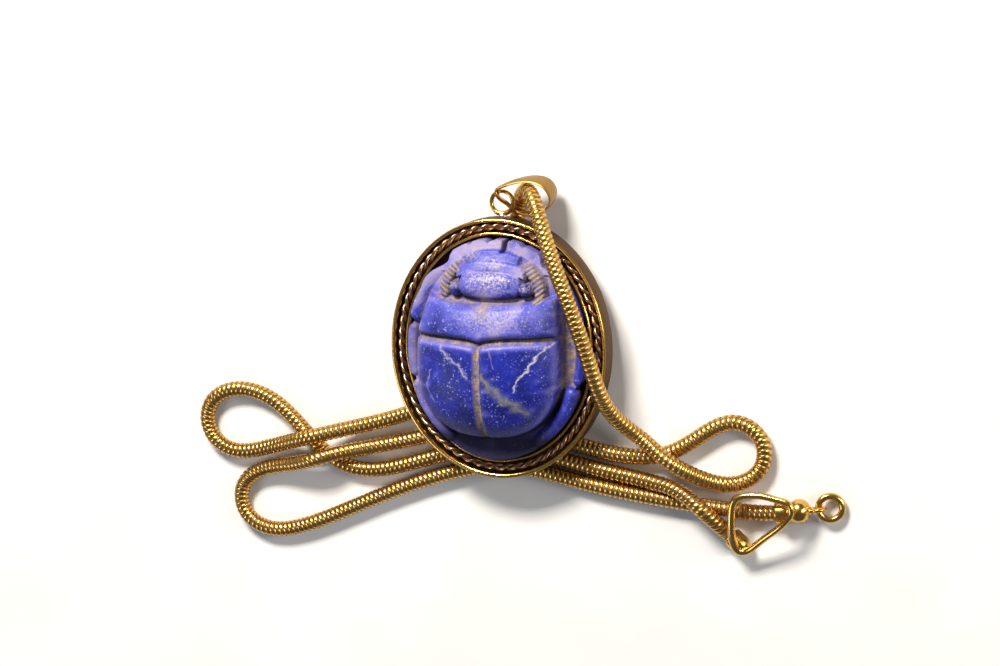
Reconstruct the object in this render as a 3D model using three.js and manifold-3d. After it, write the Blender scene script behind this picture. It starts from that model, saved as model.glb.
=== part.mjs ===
// A carved scarab in an oval metal frame, lying face up on its own chain.
// Millimetres. +X is to the right, +Y is towards the head and +Z is up, out of the front of the stone.
// The origin is the middle of the stone's flat base.
import * as THREE from "three";
import { mergeVertices } from "three/addons/utils/BufferGeometryUtils.js";
import Module from "manifold-3d";

const wasm = await Module();
wasm.setup();

const GAP = 0.3;

// Frame: an oval channel, with the stone behind its inner wall and the rope wire between its walls
const FRAME_HALF_WIDTH = 19.45;
const FRAME_HALF_HEIGHT = 22.55;
const FRAME_BACK = -2.0;
const RIM_TOP = 2.5;
const INNER_RIM_TOP = 2.65;
const WALL = 0.6;
const CHANNEL_WIDTH = 1.7;
const INNER_WALL = 0.5;
const FLOOR_TOP = 0.6;
const LEDGE_WIDTH = 1.3;
// How much wider the channel is at its left side and at its foot, as bent by hand
const LEFT_BULGE = 0.5;
const FOOT_BULGE = 0.65;
const RIM_BEVEL = 0.2;
const FRAME_STEPS = 48;

// Rope wire: two thin strands twisted together, one closed oval
const ROPE_HALF_WIDE = 0.7;
const ROPE_HALF_THIN = 0.42;
const ROPE_TURNS = 30;
const ROPE_STEPS_A_TURN = 5;
const ROPE_SIDES = 6;

// Stone: outline, and the heights of its carved forms above the flat base
const STONE_HALF_WIDTH = 16.2;
const STONE_HALF_LENGTH = 19.35;
const GIRDLE_BOTTOM = 0.9;
const BASE_SHARE = 0.925;
const EDGE_TOP = 2.9;
// The edge is lower round the tail: by how much, from which Y and over what run
const TAIL_EDGE = { drop: 1.7, start: -13, run: 3 };
const BODY_X = -0.7;
// The line between the chest and the wing cases, with a dip in its middle
const WING_LINE = { y: 3, slope: 0.02, dip: 0.9, dipWidth: 2.2 };
// The line between the head and the chest, bowed round the head
const CHEST_LINE = { y: 8.65, slope: 0.03, bow: 0.009 };
const WING_HALF_WIDTH = 12.9;
const WING_CREST_Y = -2;
const WING_TAIL = 13.3;
const WING_HEAD = 20;
const WING_EDGE = 5;
const WING_TOP = 12.3;
const WING_SQUARENESS = 2.4;
const WING_ROUNDNESS = 2.2;
// How far the wing cases round off towards the line in front of them
const SHOULDER_DROP = 1.1;
const SHOULDER_WIDTH = 0.8;
const CHEST_HALF_WIDTH = 12.9;
const CHEST_TAPER = 2.0;
const CHEST_RIGHT_SHARE = 0.1;
const CHEST_EDGE = 4.8;
const CHEST_TOP = 12;
const CHEST_DROP = 1.7;
const CHEST_DROP_POWER = 2.2;
const CHEST_ROUNDNESS = 2.3;
const CHEST_LIP_DROP = 0.8;
const CHEST_LIP_SHARE = 0.1;
// Each form of the head slopes down towards +Y and bows down towards its sides
const NECK = { top: 7.6, y: 10, slope: 0.3, bow: 0.025 };
const HEAD_X = 0.3;
const HEAD_Y = 11.8;
const HEAD_TOP = 9.3;
const HEAD_HALF_WIDTH = 5.6;
const HEAD_HALF_LENGTH = 2.4;
const HEAD_EDGE = 7.5;
const HEAD_SQUARENESS = 3;
const HEAD_ROUNDNESS = 2.5;
const HEAD_SLOPE = 0.15;
const EYE = { x: 6.35, y: 11.0, edge: 6.8, top: 8.8, rx: 1.15, ry: 1.35 };
// The hatched bands beside the eyes, as points of the right one
const CHEEK = {
  points: [[6.6, 14.4], [7.8, 13.0], [8.5, 11.5], [8.6, 10.0]], radius: 1.05, edge: 5.4, top: 7.1,
};
// y is the back edge and curve is how fast it falls back towards its sides
const BROW = { y: 14.1, top: 8.2, halfWidth: 6.2, slope: 0.3, bow: 0.02, curve: 0.035 };
const CROWN = {
  y: 15.85, top: 7.3, halfWidth: 4.8, slope: 0.35, bow: 0.03, curve: 0.03, front: 17.8, frontCurve: 0.05,
};
const SHIELD = { back: 13.4, y: 15, top: 6, slope: 0.4, bow: 0.02 };
const SHIELD_FRONT = 19.2;
const SHIELD_CORNER = 3.1;
const GROOVE_HALF_WIDTH = 0.6;
const GROOVE_DEPTH = 0.75;
// Gaps between the teeth of the shield: place, depth, half width and how square they are
const TOOTH_GAPS = [[-4.7, 0.7, 0.65, 2], [-1.1, 0.55, 0.6, 2], [2.05, 2.0, 0.5, 8], [5.1, 0.7, 0.65, 2]];
// Notches in the outline between the legs, and the wider one behind the shield
const NOTCHES = [[4.4, 0.85, 0.7], [-5.9, 0.85, 0.7], [14.9, 1.7, 1.3]];

// Legs beside the body, each a ridge along a few points of the right side
const LEGS = [
  { points: [[8.9, 14.0], [11.6, 12.2], [13.8, 9.4], [15.0, 5.8]], radius: 2.0, top: 4.5 },
  { points: [[15.2, 3.0], [15.5, -0.8], [15.0, -4.8]], radius: 1.1, top: 4.3 },
  { points: [[13.9, -7.0], [13.0, -10.0], [10.8, -13.2], [8.2, -15.6]], radius: 1.5, top: 5.0 },
];

// Hanging ring, soldered to the top of the frame, and the bail that is linked through it
const RING_RADIUS = 1.95;
const RING_WIRE = 0.38;
const RING_Z = 0.25;
const RING_Y = FRAME_HALF_HEIGHT + GAP + RING_WIRE + RING_RADIUS;
const BAIL_THICKNESS = 0.45;
// How far the strip's width leans towards -Y as it rises
const BAIL_LEAN = 0.27;
// Middle of the strip at each station, and half of its width along Z
const BAIL = [
  [-0.6, 27.5, 1.4, 0.45], [-0.6, 26.7, 1.4, 0.45], [-0.2, 25.9, 0.9, 0.45], [0.6, 25.1, 0.0, 0.45],
  [1.3, 24.2, -0.85, 0.4], [2.4, 23.6, -0.95, 0.5], [4.4, 23.3, -0.75, 1.0], [6.7, 23.8, -0.5, 1.6],
  [8.5, 25.0, -0.1, 1.9], [9.1, 26.9, 0.0, 2.0], [7.8, 28.8, 0.1, 1.9], [5.2, 29.4, 0.4, 1.5],
  [2.4, 28.9, 0.8, 1.0], [0.4, 28.1, 1.2, 0.6],
];

// Chain: a round snake chain that lies on the same surface all the way
const CHAIN_DIAMETER = 2.8;
const CHAIN_STEPS = 72;
const CHAIN_SIDES = 8;
const LOW = FRAME_BACK - GAP - CHAIN_DIAMETER / 2;
const UP = 0.3;
const SIDE = -1.9;
const CHAIN_ROUTE = [
  [41.0, -31.9, -3.3], [39.4, -30.5, -3.1], [36.4, -26.8, 0.45], [32.0, -23.7, SIDE],
  [24.4, -22.8, LOW], [13.0, -21.2, LOW], [0.0, -18.0, LOW], [-13.0, -21.0, LOW],
  [-23.0, -25.0, LOW], [-32.0, -25.4, LOW], [-38.4, -20.0, LOW], [-44.4, -13.2, LOW],
  [-52.6, -10.8, LOW], [-59.2, -14.1, LOW], [-59.2, -20.8, LOW], [-53.6, -24.3, LOW],
  [-46.4, -22.2, LOW], [-41.6, -20.5, SIDE], [-36.8, -19.0, UP], [-31.8, -17.7, SIDE],
  [-23.0, -15.6, LOW], [-12.0, -11.4, LOW], [-4.4, -2.0, LOW], [-0.8, 9.0, LOW],
  [1.1, 18.4, -3.8], [1.5, 25.4, -3.9], [4.7, 28.5, 0.3], [7.7, 25.0, 4.8], [9.6, 19.4, 5.8],
  [13.6, 11.2, 7.8], [16.8, 2.2, 6.6], [18.9, -6.0, 5.6], [20.8, -11.4, 1.8],
  [25.0, -15.4, -2.4], [30.2, -18.8, UP + 0.1], [35.4, -21.6, SIDE], [40.8, -23.2, LOW],
  [46.3, -20.0, LOW], [46.3, -13.7, LOW], [40.7, -10.5, LOW], [35.0, -14.1, LOW],
  [29.2, -18.8, LOW], [19.6, -19.2, LOW], [9.4, -16.6, LOW], [-3.0, -14.0, LOW],
  [-15.0, -17.9, LOW], [-25.6, -20.6, LOW], [-31.0, -21.6, SIDE], [-36.0, -23.0, UP],
  [-41.0, -24.8, SIDE], [-47.0, -25.8, LOW], [-52.6, -28.8, LOW], [-52.6, -35.2, LOW],
  [-46.6, -38.6, LOW], [-38.0, -36.2, LOW], [-26.0, -30.2, LOW], [-13.0, -24.6, LOW],
  [0.0, -21.3, LOW], [13.0, -24.4, LOW], [25.0, -25.9, LOW], [36.6, -26.9, LOW],
  [45.3, -27.2, -3.3], [49.0, -26.65, -2.9],
];

// Clasp: a three-cornered wire loop on a short cap, leaning over the chain
const CLASP_WIRE = 0.65;
const CLASP_LOOP = [
  [41.5, -25.2, -0.4], [43.0, -23.7, -0.2], [46.0, -23.3, -0.1], [49.0, -23.7, 0.0],
  [51.2, -24.3, 0.1], [51.7, -26.0, 0.1], [50.0, -28.3, 0.0], [46.9, -31.0, -0.9],
  [44.2, -33.4, -2.0], [42.5, -33.9, -2.1], [41.6, -32.6, -1.3], [41.2, -29.4, -0.7],
];
const CLASP_STEPS = 33;
const CLASP_CAP = [[0, 0], [1.0, 0], [1.75, 0.3], [1.75, 2.0], [1.0, 3.0], [0, 3.0]];

// End cap with its lug, and the ring in the lug
const CAP_X = 49.3;
const CAP_Y = -26.6;
const CAP_Z = -2.9;
const CAP_TURN = 0.15;
const CAP_PROFILE = [
  [0, 0], [1.75, 0], [2.05, 0.25], [2.05, 1.5], [1.65, 1.75], [1.75, 2.0], [2.1, 2.7],
  [2.15, 3.4], [1.95, 4.2], [1.4, 4.8], [0.8, 5.1], [0.65, 5.4], [0, 5.4],
];
const CAP_LENGTH = CAP_PROFILE.at(-1)[1];
const LUG_RADIUS = 1.15;
const LUG_WIRE = 0.3;
const LUG_X = CAP_LENGTH + LUG_RADIUS - 0.1;
const LUG_DROP = 0.4;
const END_RING_RADIUS = 2.05;
const END_RING_WIRE = 0.6;
const END_RING_TILT = 0.22;
const END_RING_DROP = 0.9;

const lapis = new THREE.MeshStandardMaterial({ color: 0x2436a8, roughness: 0.45, metalness: 0 });
const gold = new THREE.MeshStandardMaterial({ color: 0xc9a04a, roughness: 0.3, metalness: 1 });
const bronze = new THREE.MeshStandardMaterial({ color: 0x6a5240, roughness: 0.45, metalness: 1 });

function clamp(value) {
  return Math.min(1, Math.max(0, value));
}

function bell(distance, width) {
  return Math.exp(-((distance / width) ** 2));
}

// A closed tube from rings of points, the last ring joined to the first.
function loft(rings) {
  const count = rings[0].length;
  const faces = [];
  for (let i = 0; i < rings.length; i++) {
    const here = i * count;
    const next = ((i + 1) % rings.length) * count;
    for (let j = 0; j < count; j++) {
      const k = (j + 1) % count;
      faces.push(here + j, next + k, here + k, here + j, next + j, next + k);
    }
  }
  const geometry = new THREE.BufferGeometry().setFromPoints(rings.flat());
  geometry.setIndex(faces);
  return geometry;
}

// The same mesh as a solid that can be joined to another.
function solidOf(geometry) {
  const bare = new THREE.BufferGeometry();
  bare.setAttribute("position", geometry.attributes.position);
  bare.setIndex(geometry.index);
  const merged = mergeVertices(bare, 1e-4);
  return new wasm.Manifold(new wasm.Mesh({
    numProp: 3,
    vertProperties: new Float32Array(merged.attributes.position.array),
    triVerts: new Uint32Array(merged.index.array),
  }));
}

function joined(...geometries) {
  const whole = geometries.map(solidOf).reduce((sum, next) => sum.add(next)).getMesh();
  const geometry = new THREE.BufferGeometry();
  geometry.setAttribute("position", new THREE.BufferAttribute(whole.vertProperties, 3));
  geometry.setIndex(new THREE.BufferAttribute(whole.triVerts, 1));
  return geometry;
}

// Points of a round wire's section at each step of a closed curve.
function closedWire(curve, steps, radius, sides) {
  const rings = [];
  const up = new THREE.Vector3(0, 0, 1);
  for (let i = 0; i < steps; i++) {
    const middle = curve.getPointAt(i / steps);
    const along = curve.getTangentAt(i / steps);
    const across = new THREE.Vector3().crossVectors(along, up).normalize();
    const over = new THREE.Vector3().crossVectors(across, along);
    const ring = [];
    for (let j = 0; j < sides; j++) {
      const turn = (2 * Math.PI * j) / sides;
      const out = across.clone().multiplyScalar(radius * Math.cos(turn));
      ring.push(out.addScaledVector(over, radius * Math.sin(turn)).add(middle));
    }
    rings.push(ring);
  }
  return loft(rings);
}

function mesh(name, geometry, material) {
  const made = new THREE.Mesh(geometry, material);
  made.name = name;
  return made;
}

// Frame

// A point of the frame's oval, so far in from its outer face.
function framePoint(turn, inset) {
  const stretch = clamp(1 - inset / (WALL + CHANNEL_WIDTH));
  const [x, y] = [Math.cos(turn), Math.sin(turn)];
  return [
    (FRAME_HALF_WIDTH - inset) * x - (LEFT_BULGE * stretch * (1 - x)) / 2,
    (FRAME_HALF_HEIGHT - inset) * y - (FOOT_BULGE * stretch * (1 - y)) / 2,
  ];
}

function frameGeometry() {
  const inner = WALL + CHANNEL_WIDTH;
  const seat = inner + INNER_WALL + LEDGE_WIDTH;
  // How far in from the outer face, and how high
  const profile = [
    [0, FRAME_BACK], [0, RIM_TOP - RIM_BEVEL], [RIM_BEVEL, RIM_TOP], [WALL - RIM_BEVEL, RIM_TOP],
    [WALL, RIM_TOP - RIM_BEVEL], [WALL, FLOOR_TOP], [inner, FLOOR_TOP], [inner, INNER_RIM_TOP],
    [inner + INNER_WALL, INNER_RIM_TOP], [inner + INNER_WALL, FLOOR_TOP], [seat, FLOOR_TOP],
    [seat, 0], [WALL, 0], [WALL, FRAME_BACK],
  ];
  const rings = [];
  for (let i = 0; i < FRAME_STEPS; i++) {
    const turn = (2 * Math.PI * i) / FRAME_STEPS;
    rings.push(profile.map(([inset, z]) => new THREE.Vector3(...framePoint(turn, inset), z)));
  }
  return loft(rings);
}

// The middle of the channel, all the way round.
class ChannelLine extends THREE.Curve {
  getPoint(share, target = new THREE.Vector3()) {
    return target.set(...framePoint(2 * Math.PI * share, WALL + CHANNEL_WIDTH / 2), 0);
  }
}

function ropeGeometry() {
  const z = FLOOR_TOP + GAP + ROPE_HALF_WIDE;
  const steps = ROPE_TURNS * ROPE_STEPS_A_TURN;
  const path = new ChannelLine();
  const rings = [];
  for (let i = 0; i < steps; i++) {
    const middle = path.getPointAt(i / steps);
    const along = path.getTangentAt(i / steps);
    const twist = (2 * Math.PI * i) / ROPE_STEPS_A_TURN;
    const ring = [];
    for (let j = 0; j < ROPE_SIDES; j++) {
      const turn = (2 * Math.PI * j) / ROPE_SIDES;
      const wide = ROPE_HALF_WIDE * Math.cos(turn);
      const thin = ROPE_HALF_THIN * Math.sin(turn);
      const out = wide * Math.cos(twist) - thin * Math.sin(twist);
      const over = wide * Math.sin(twist) + thin * Math.cos(twist);
      ring.push(new THREE.Vector3(middle.x + along.y * out, middle.y - along.x * out, z + over));
    }
    rings.push(ring);
  }
  return loft(rings);
}

// Stone

function wingLine(x) {
  const { y, slope, dip, dipWidth } = WING_LINE;
  return y + slope * x - dip * Math.exp(-Math.abs(x - BODY_X) / dipWidth);
}

function chestLine(x) {
  return CHEST_LINE.y + CHEST_LINE.slope * x + CHEST_LINE.bow * x * x;
}

function outlineHalfWidth(y) {
  const oval = STONE_HALF_WIDTH * Math.sqrt(Math.max(0, 1 - (y / STONE_HALF_LENGTH) ** 2));
  return NOTCHES.reduce((half, [at, depth, width]) => half - depth * bell(y - at, width), oval);
}

function toothGap(x) {
  return TOOTH_GAPS.reduce((sum, [at, depth, width, power]) => (
    sum + depth * Math.exp(-(Math.abs((x - at) / width) ** power))
  ), 0);
}

// A rounded island: full height at its middle and edge height where reach is 1.
function island(reach, edge, top, power) {
  return reach >= 1 ? 0 : edge + (top - edge) * (1 - reach ** power) ** (1 / power);
}

// Distance from the middle of a squared-off oval: 1 on its edge.
function squared(across, along, squareness) {
  return (Math.abs(across) ** squareness + Math.abs(along) ** squareness) ** (1 / squareness);
}

function wings(x, y) {
  const run = y < WING_CREST_Y ? (WING_CREST_Y - y) / WING_TAIL : (y - WING_CREST_Y) / WING_HEAD;
  const reach = squared((x - BODY_X) / WING_HALF_WIDTH, run, WING_SQUARENESS);
  const shoulder = SHOULDER_DROP * bell(wingLine(x) - y, SHOULDER_WIDTH);
  return y > wingLine(x) ? 0 : island(reach, WING_EDGE, WING_TOP, WING_ROUNDNESS) - shoulder;
}

function chest(x, y) {
  const back = wingLine(x);
  const front = chestLine(x);
  if (y < back || y > front) {
    return 0;
  }
  const share = (y - back) / (front - back);
  const lip = CHEST_LIP_DROP * bell(1 - share, CHEST_LIP_SHARE);
  const top = CHEST_TOP - CHEST_DROP * share ** CHEST_DROP_POWER - lip;
  const halfWidth = CHEST_HALF_WIDTH - CHEST_TAPER * share * (x < BODY_X ? 1 : CHEST_RIGHT_SHARE);
  return island(Math.abs(x - BODY_X) / halfWidth, CHEST_EDGE, top, CHEST_ROUNDNESS);
}

function sloped(form, across, y) {
  return form.top - form.slope * (y - form.y) - form.bow * across * across;
}

function head(x, y) {
  const across = x - HEAD_X;
  const side = Math.abs(across);
  const box = squared(side / HEAD_HALF_WIDTH, (y - HEAD_Y) / HEAD_HALF_LENGTH, HEAD_SQUARENESS);
  const block = island(box, HEAD_EDGE, HEAD_TOP, HEAD_ROUNDNESS) - HEAD_SLOPE * (y - HEAD_Y);
  const eye = island(Math.hypot((side - EYE.x) / EYE.rx, (y - EYE.y) / EYE.ry), EYE.edge, EYE.top, 2);
  const cheek = island(distanceToPath(side, y, CHEEK.points) / CHEEK.radius, CHEEK.edge, CHEEK.top, 3);
  const neck = y > chestLine(x) ? sloped(NECK, across, y) : 0;
  return Math.max(block, eye, cheek, neck);
}

// The forehead in two steps, and the flat toothed shield in front of it.
function browAndShield(x, y) {
  const across = x - HEAD_X;
  const [side, bow] = [Math.abs(across), across * across];
  const pastBrow = y > BROW.y - BROW.curve * bow;
  const pastCrown = y > CROWN.y - CROWN.curve * bow;
  const brow = pastBrow && !pastCrown && side < BROW.halfWidth ? sloped(BROW, across, y) : 0;
  const inCrown = y > BROW.y && y < CROWN.front - CROWN.frontCurve * bow && side < CROWN.halfWidth;
  const crown = inCrown ? sloped(CROWN, across, y) : 0;
  const shield = y > SHIELD.back ? sloped(SHIELD, across, y) : 0;
  return Math.max(brow, crown, shield);
}

function distanceToPath(x, y, points) {
  let nearest = Infinity;
  for (let i = 0; i < points.length - 1; i++) {
    const [ax, ay] = points[i];
    const [bx, by] = points[i + 1];
    const share = clamp(((x - ax) * (bx - ax) + (y - ay) * (by - ay)) / ((bx - ax) ** 2 + (by - ay) ** 2));
    nearest = Math.min(nearest, Math.hypot(x - ax - share * (bx - ax), y - ay - share * (by - ay)));
  }
  return nearest;
}

function legs(x, y) {
  return Math.max(...LEGS.map(({ points, radius, top }) => (
    island(distanceToPath(Math.abs(x), y, points) / radius, EDGE_TOP, top, 2)
  )));
}

// Height of the carved top above the flat base.
function stoneTop(x, y) {
  const edge = EDGE_TOP - TAIL_EDGE.drop * clamp((TAIL_EDGE.start - y) / TAIL_EDGE.run);
  const form = Math.max(edge, wings(x, y), chest(x, y), head(x, y), browAndShield(x, y), legs(x, y));
  const seam = y < wingLine(x) && y > WING_CREST_Y - WING_TAIL ? bell(x - BODY_X, GROOVE_HALF_WIDTH) : 0;
  const cross = Math.abs(x - BODY_X) < WING_HALF_WIDTH ? bell(y - wingLine(x), GROOVE_HALF_WIDTH) : 0;
  return form - GROOVE_DEPTH * Math.max(seam, cross);
}

// Rows run across the stone. Near the tail they bend round its edge, near the head round the teeth,
// and between them they follow the two carved lines across the back.
const ROWS = [
  -STONE_HALF_LENGTH, -18.9, -18.2, -17.4, -16.6, -15.9, -15.4, -14.8, -13.6, -12.0, -10.2, -8.2,
  -6.4, -5.6, -4.4, -2.4, -0.6, 0.7, 1.4, 1.9, 2.4, 2.9, 3.6, 4.4, 5.2, 6.4, 7.6, 8.2, 8.6, 8.95,
  9.5, 10.4, 11.6, 12.8, 13.8, 14.3, 15.1, 15.9, 16.8, 17.7, 18.1, 18.7, SHIELD_FRONT,
];
const COLUMNS = 36;
// From which Y the rows bend, and how far the last row's ends lie from its middle
const TAIL_ROWS = { start: -12, bend: 3.3, arc: 0.556 };
const FRONT_ROWS = { start: 13, curved: 0.35, corner: 0.65, cornerPower: 7, toothPower: 4 };
// Over what distance the rows bend along the two carved lines, and how far out their ends are read
const WING_ROWS = { y: 2.1, run: 3, ends: 0.9 };
const CHEST_ROWS = { y: 8.65, run: 3, ends: 1.8 };

// How far a circle of radius 1 has fallen away, so far out from its top.
function arcRise(out) {
  return 1 - Math.sqrt(1 - out * out);
}

function rowPoint(yMiddle, u) {
  const tail = clamp((TAIL_ROWS.start - yMiddle) / (TAIL_ROWS.start + STONE_HALF_LENGTH));
  const front = clamp((yMiddle - FRONT_ROWS.start) / (SHIELD_FRONT - FRONT_ROWS.start));
  const alongWings = clamp(1 - Math.abs(yMiddle - WING_ROWS.y) / WING_ROWS.run);
  const alongChest = clamp(1 - Math.abs(yMiddle - CHEST_ROWS.y) / CHEST_ROWS.run);
  const sideY = yMiddle + TAIL_ROWS.bend * tail - SHIELD_CORNER * front
    + WING_ROWS.ends * alongWings + CHEST_ROWS.ends * alongChest;
  const x = u * outlineHalfWidth(sideY);
  const roundTail = arcRise(u * TAIL_ROWS.arc) / arcRise(TAIL_ROWS.arc);
  const corner = FRONT_ROWS.corner * Math.abs(u) ** FRONT_ROWS.cornerPower;
  const roundFront = FRONT_ROWS.curved * u * u + corner;
  const y = yMiddle + TAIL_ROWS.bend * tail * roundTail - SHIELD_CORNER * front * roundFront
    - toothGap(x) * front ** FRONT_ROWS.toothPower
    + alongWings * (wingLine(x) - wingLine(BODY_X)) + alongChest * (chestLine(x) - chestLine(0));
  return [x, Math.min(y, STONE_HALF_LENGTH * Math.sqrt(1 - (x / STONE_HALF_WIDTH) ** 2))];
}

// Columns crowd towards the middle, where the seam of the wing cases is.
function columnAt(i) {
  const u = (2 * i) / COLUMNS - 1;
  return 0.75 * u + 0.25 * u ** 3;
}

function stoneGeometry() {
  const wide = COLUMNS + 1;
  const points = [];
  for (const row of ROWS) {
    for (let i = 0; i < wide; i++) {
      const [x, y] = rowPoint(row, columnAt(i));
      points.push(new THREE.Vector3(x, y, stoneTop(x, y)));
    }
  }
  const faces = [];
  for (let r = 0; r < ROWS.length - 1; r++) {
    for (let i = 0; i < COLUMNS; i++) {
      const a = r * wide + i;
      faces.push(a, a + 1, a + wide + 1, a, a + wide + 1, a + wide);
    }
  }
  // The outline, counterclockwise from the left end of the tail row
  const top = (ROWS.length - 1) * wide;
  const outline = [];
  for (let i = 0; i < COLUMNS; i++) {
    outline.push(i);
  }
  for (let r = 0; r < ROWS.length - 1; r++) {
    outline.push(r * wide + COLUMNS);
  }
  for (let i = COLUMNS; i > 0; i--) {
    outline.push(top + i);
  }
  for (let r = ROWS.length - 1; r > 0; r--) {
    outline.push(r * wide);
  }
  const rings = [outline];
  for (const [share, z] of [[1, GIRDLE_BOTTOM], [BASE_SHARE, GIRDLE_BOTTOM], [BASE_SHARE, 0]]) {
    rings.push(outline.map((index) => {
      const { x, y } = points[index];
      return points.push(new THREE.Vector3(x * share, y * share, z)) - 1;
    }));
  }
  for (let r = 0; r < rings.length - 1; r++) {
    for (let j = 0; j < outline.length; j++) {
      const k = (j + 1) % outline.length;
      const [a, b, c, d] = [rings[r][j], rings[r][k], rings[r + 1][k], rings[r + 1][j]];
      faces.push(a, d, c, a, c, b);
    }
  }
  const middle = points.push(new THREE.Vector3(0, 0, 0)) - 1;
  const base = rings[rings.length - 1];
  base.forEach((index, j) => faces.push(middle, base[(j + 1) % base.length], index));
  const geometry = new THREE.BufferGeometry().setFromPoints(points);
  geometry.setIndex(faces);
  return geometry;
}

// Ring and bail

function bailGeometry() {
  const rings = BAIL.map(([x, y, z, half], i) => {
    const before = BAIL[(i + BAIL.length - 1) % BAIL.length];
    const after = BAIL[(i + 1) % BAIL.length];
    const out = new THREE.Vector2(after[1] - before[1], before[0] - after[0]).normalize();
    const [dx, dy] = [(out.x * BAIL_THICKNESS) / 2, (out.y * BAIL_THICKNESS) / 2];
    const lean = BAIL_LEAN * half;
    return [
      new THREE.Vector3(x - dx, y - dy + lean, z - half), new THREE.Vector3(x + dx, y + dy + lean, z - half),
      new THREE.Vector3(x + dx, y + dy - lean, z + half), new THREE.Vector3(x - dx, y - dy - lean, z + half),
    ];
  });
  return loft(rings);
}

// Chain, clasp and end ring

// A smooth curve that is pulled towards its points and starts and ends on the first and the last.
class SmoothRoute extends THREE.Curve {
  constructor(points) {
    super();
    const list = points.map((p) => new THREE.Vector3(...p));
    const before = list[0].clone().multiplyScalar(2).sub(list[1]);
    const after = list[list.length - 1].clone().multiplyScalar(2).sub(list[list.length - 2]);
    this.points = [before, ...list, after];
    this.arcLengthDivisions = 2000;
  }

  getPoint(share, target = new THREE.Vector3()) {
    const spans = this.points.length - 3;
    const at = Math.min(share * spans, spans - 1e-9);
    const i = Math.floor(at);
    const t = at - i;
    const weights = [
      (1 - t) ** 3, 3 * t ** 3 - 6 * t ** 2 + 4, -3 * t ** 3 + 3 * t ** 2 + 3 * t + 1, t ** 3,
    ];
    target.set(0, 0, 0);
    weights.forEach((weight, k) => target.addScaledVector(this.points[i + k], weight / 6));
    return target;
  }
}

function chainGeometry() {
  const circle = new THREE.Shape();
  for (let i = 0; i < CHAIN_SIDES; i++) {
    const turn = (2 * Math.PI * (i + 0.5)) / CHAIN_SIDES;
    const [x, y] = [(CHAIN_DIAMETER / 2) * Math.cos(turn), (CHAIN_DIAMETER / 2) * Math.sin(turn)];
    if (i === 0) {
      circle.moveTo(x, y);
    } else {
      circle.lineTo(x, y);
    }
  }
  return new THREE.ExtrudeGeometry(circle, {
    steps: CHAIN_STEPS, bevelEnabled: false, extrudePath: new SmoothRoute(CHAIN_ROUTE),
  });
}

function claspGeometry() {
  const loop = new THREE.CatmullRomCurve3(CLASP_LOOP.map((p) => new THREE.Vector3(...p)), true);
  const wire = closedWire(loop, CLASP_STEPS, CLASP_WIRE, 6);
  const cap = new THREE.LatheGeometry(CLASP_CAP.map(([r, y]) => new THREE.Vector2(r, y)), 12);
  const [end, before] = CHAIN_ROUTE.slice(0, 2).map((p) => new THREE.Vector3(...p));
  const along = end.clone().sub(before).normalize();
  cap.applyQuaternion(new THREE.Quaternion().setFromUnitVectors(new THREE.Vector3(0, 1, 0), along));
  const start = end.addScaledVector(along, GAP);
  cap.translate(start.x, start.y, start.z);
  return joined(wire, cap);
}

function endCapGeometry() {
  const cap = new THREE.LatheGeometry(CAP_PROFILE.map(([r, y]) => new THREE.Vector2(r, y)), 12);
  cap.rotateZ(-Math.PI / 2);
  const lug = new THREE.TorusGeometry(LUG_RADIUS, LUG_WIRE, 6, 12);
  lug.rotateX(Math.PI / 2);
  lug.translate(LUG_X, 0, -LUG_DROP);
  return joined(cap, lug);
}

const amulet = new THREE.Group();
amulet.add(mesh("scarab", stoneGeometry(), lapis));
amulet.add(mesh("frame", frameGeometry(), gold));
amulet.add(mesh("rope_wire", ropeGeometry(), bronze));

const ring = mesh("hanging_ring", new THREE.TorusGeometry(RING_RADIUS, RING_WIRE, 6, 20), gold);
ring.position.set(0, RING_Y, RING_Z);
amulet.add(ring);
amulet.add(mesh("bail", bailGeometry(), gold));

amulet.add(mesh("chain", chainGeometry(), gold));
amulet.add(mesh("clasp", claspGeometry(), gold));

const ending = new THREE.Group();
ending.position.set(CAP_X, CAP_Y, CAP_Z);
ending.rotation.z = CAP_TURN;
ending.add(mesh("end_cap", endCapGeometry(), gold));
const endRing = mesh("end_ring", new THREE.TorusGeometry(END_RING_RADIUS, END_RING_WIRE, 6, 18), gold);
endRing.position.set(LUG_X + END_RING_RADIUS, 0, -END_RING_DROP);
endRing.rotation.y = END_RING_TILT;
ending.add(endRing);
amulet.add(ending);

export default amulet;
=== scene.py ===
"""The looks of a scarab amulet: a carved blue stone in an oval gold frame, lying on its own snake chain.

Sizes are millimetres until make_mesh() turns them into metres, apart from the lights. The axes are those
of the solids: +X to the right, +Y towards the beetle's head and +Z out of the front of the stone.
"""

import math

import bpy
import numpy as np
from mathutils import Matrix, Vector


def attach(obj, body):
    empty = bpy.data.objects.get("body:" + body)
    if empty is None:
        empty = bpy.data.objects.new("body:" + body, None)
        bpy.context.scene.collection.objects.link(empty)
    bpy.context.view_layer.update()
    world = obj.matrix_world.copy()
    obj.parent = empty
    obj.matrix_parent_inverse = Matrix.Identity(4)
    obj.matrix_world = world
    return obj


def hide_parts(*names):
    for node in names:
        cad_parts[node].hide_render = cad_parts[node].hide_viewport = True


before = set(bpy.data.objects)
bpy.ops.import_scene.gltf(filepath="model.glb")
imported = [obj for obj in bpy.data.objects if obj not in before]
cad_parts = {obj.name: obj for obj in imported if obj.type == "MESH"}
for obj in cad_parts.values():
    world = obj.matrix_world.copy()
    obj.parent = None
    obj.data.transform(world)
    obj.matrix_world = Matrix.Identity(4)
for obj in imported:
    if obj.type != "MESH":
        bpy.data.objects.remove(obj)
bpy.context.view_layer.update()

MM = 0.001

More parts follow.
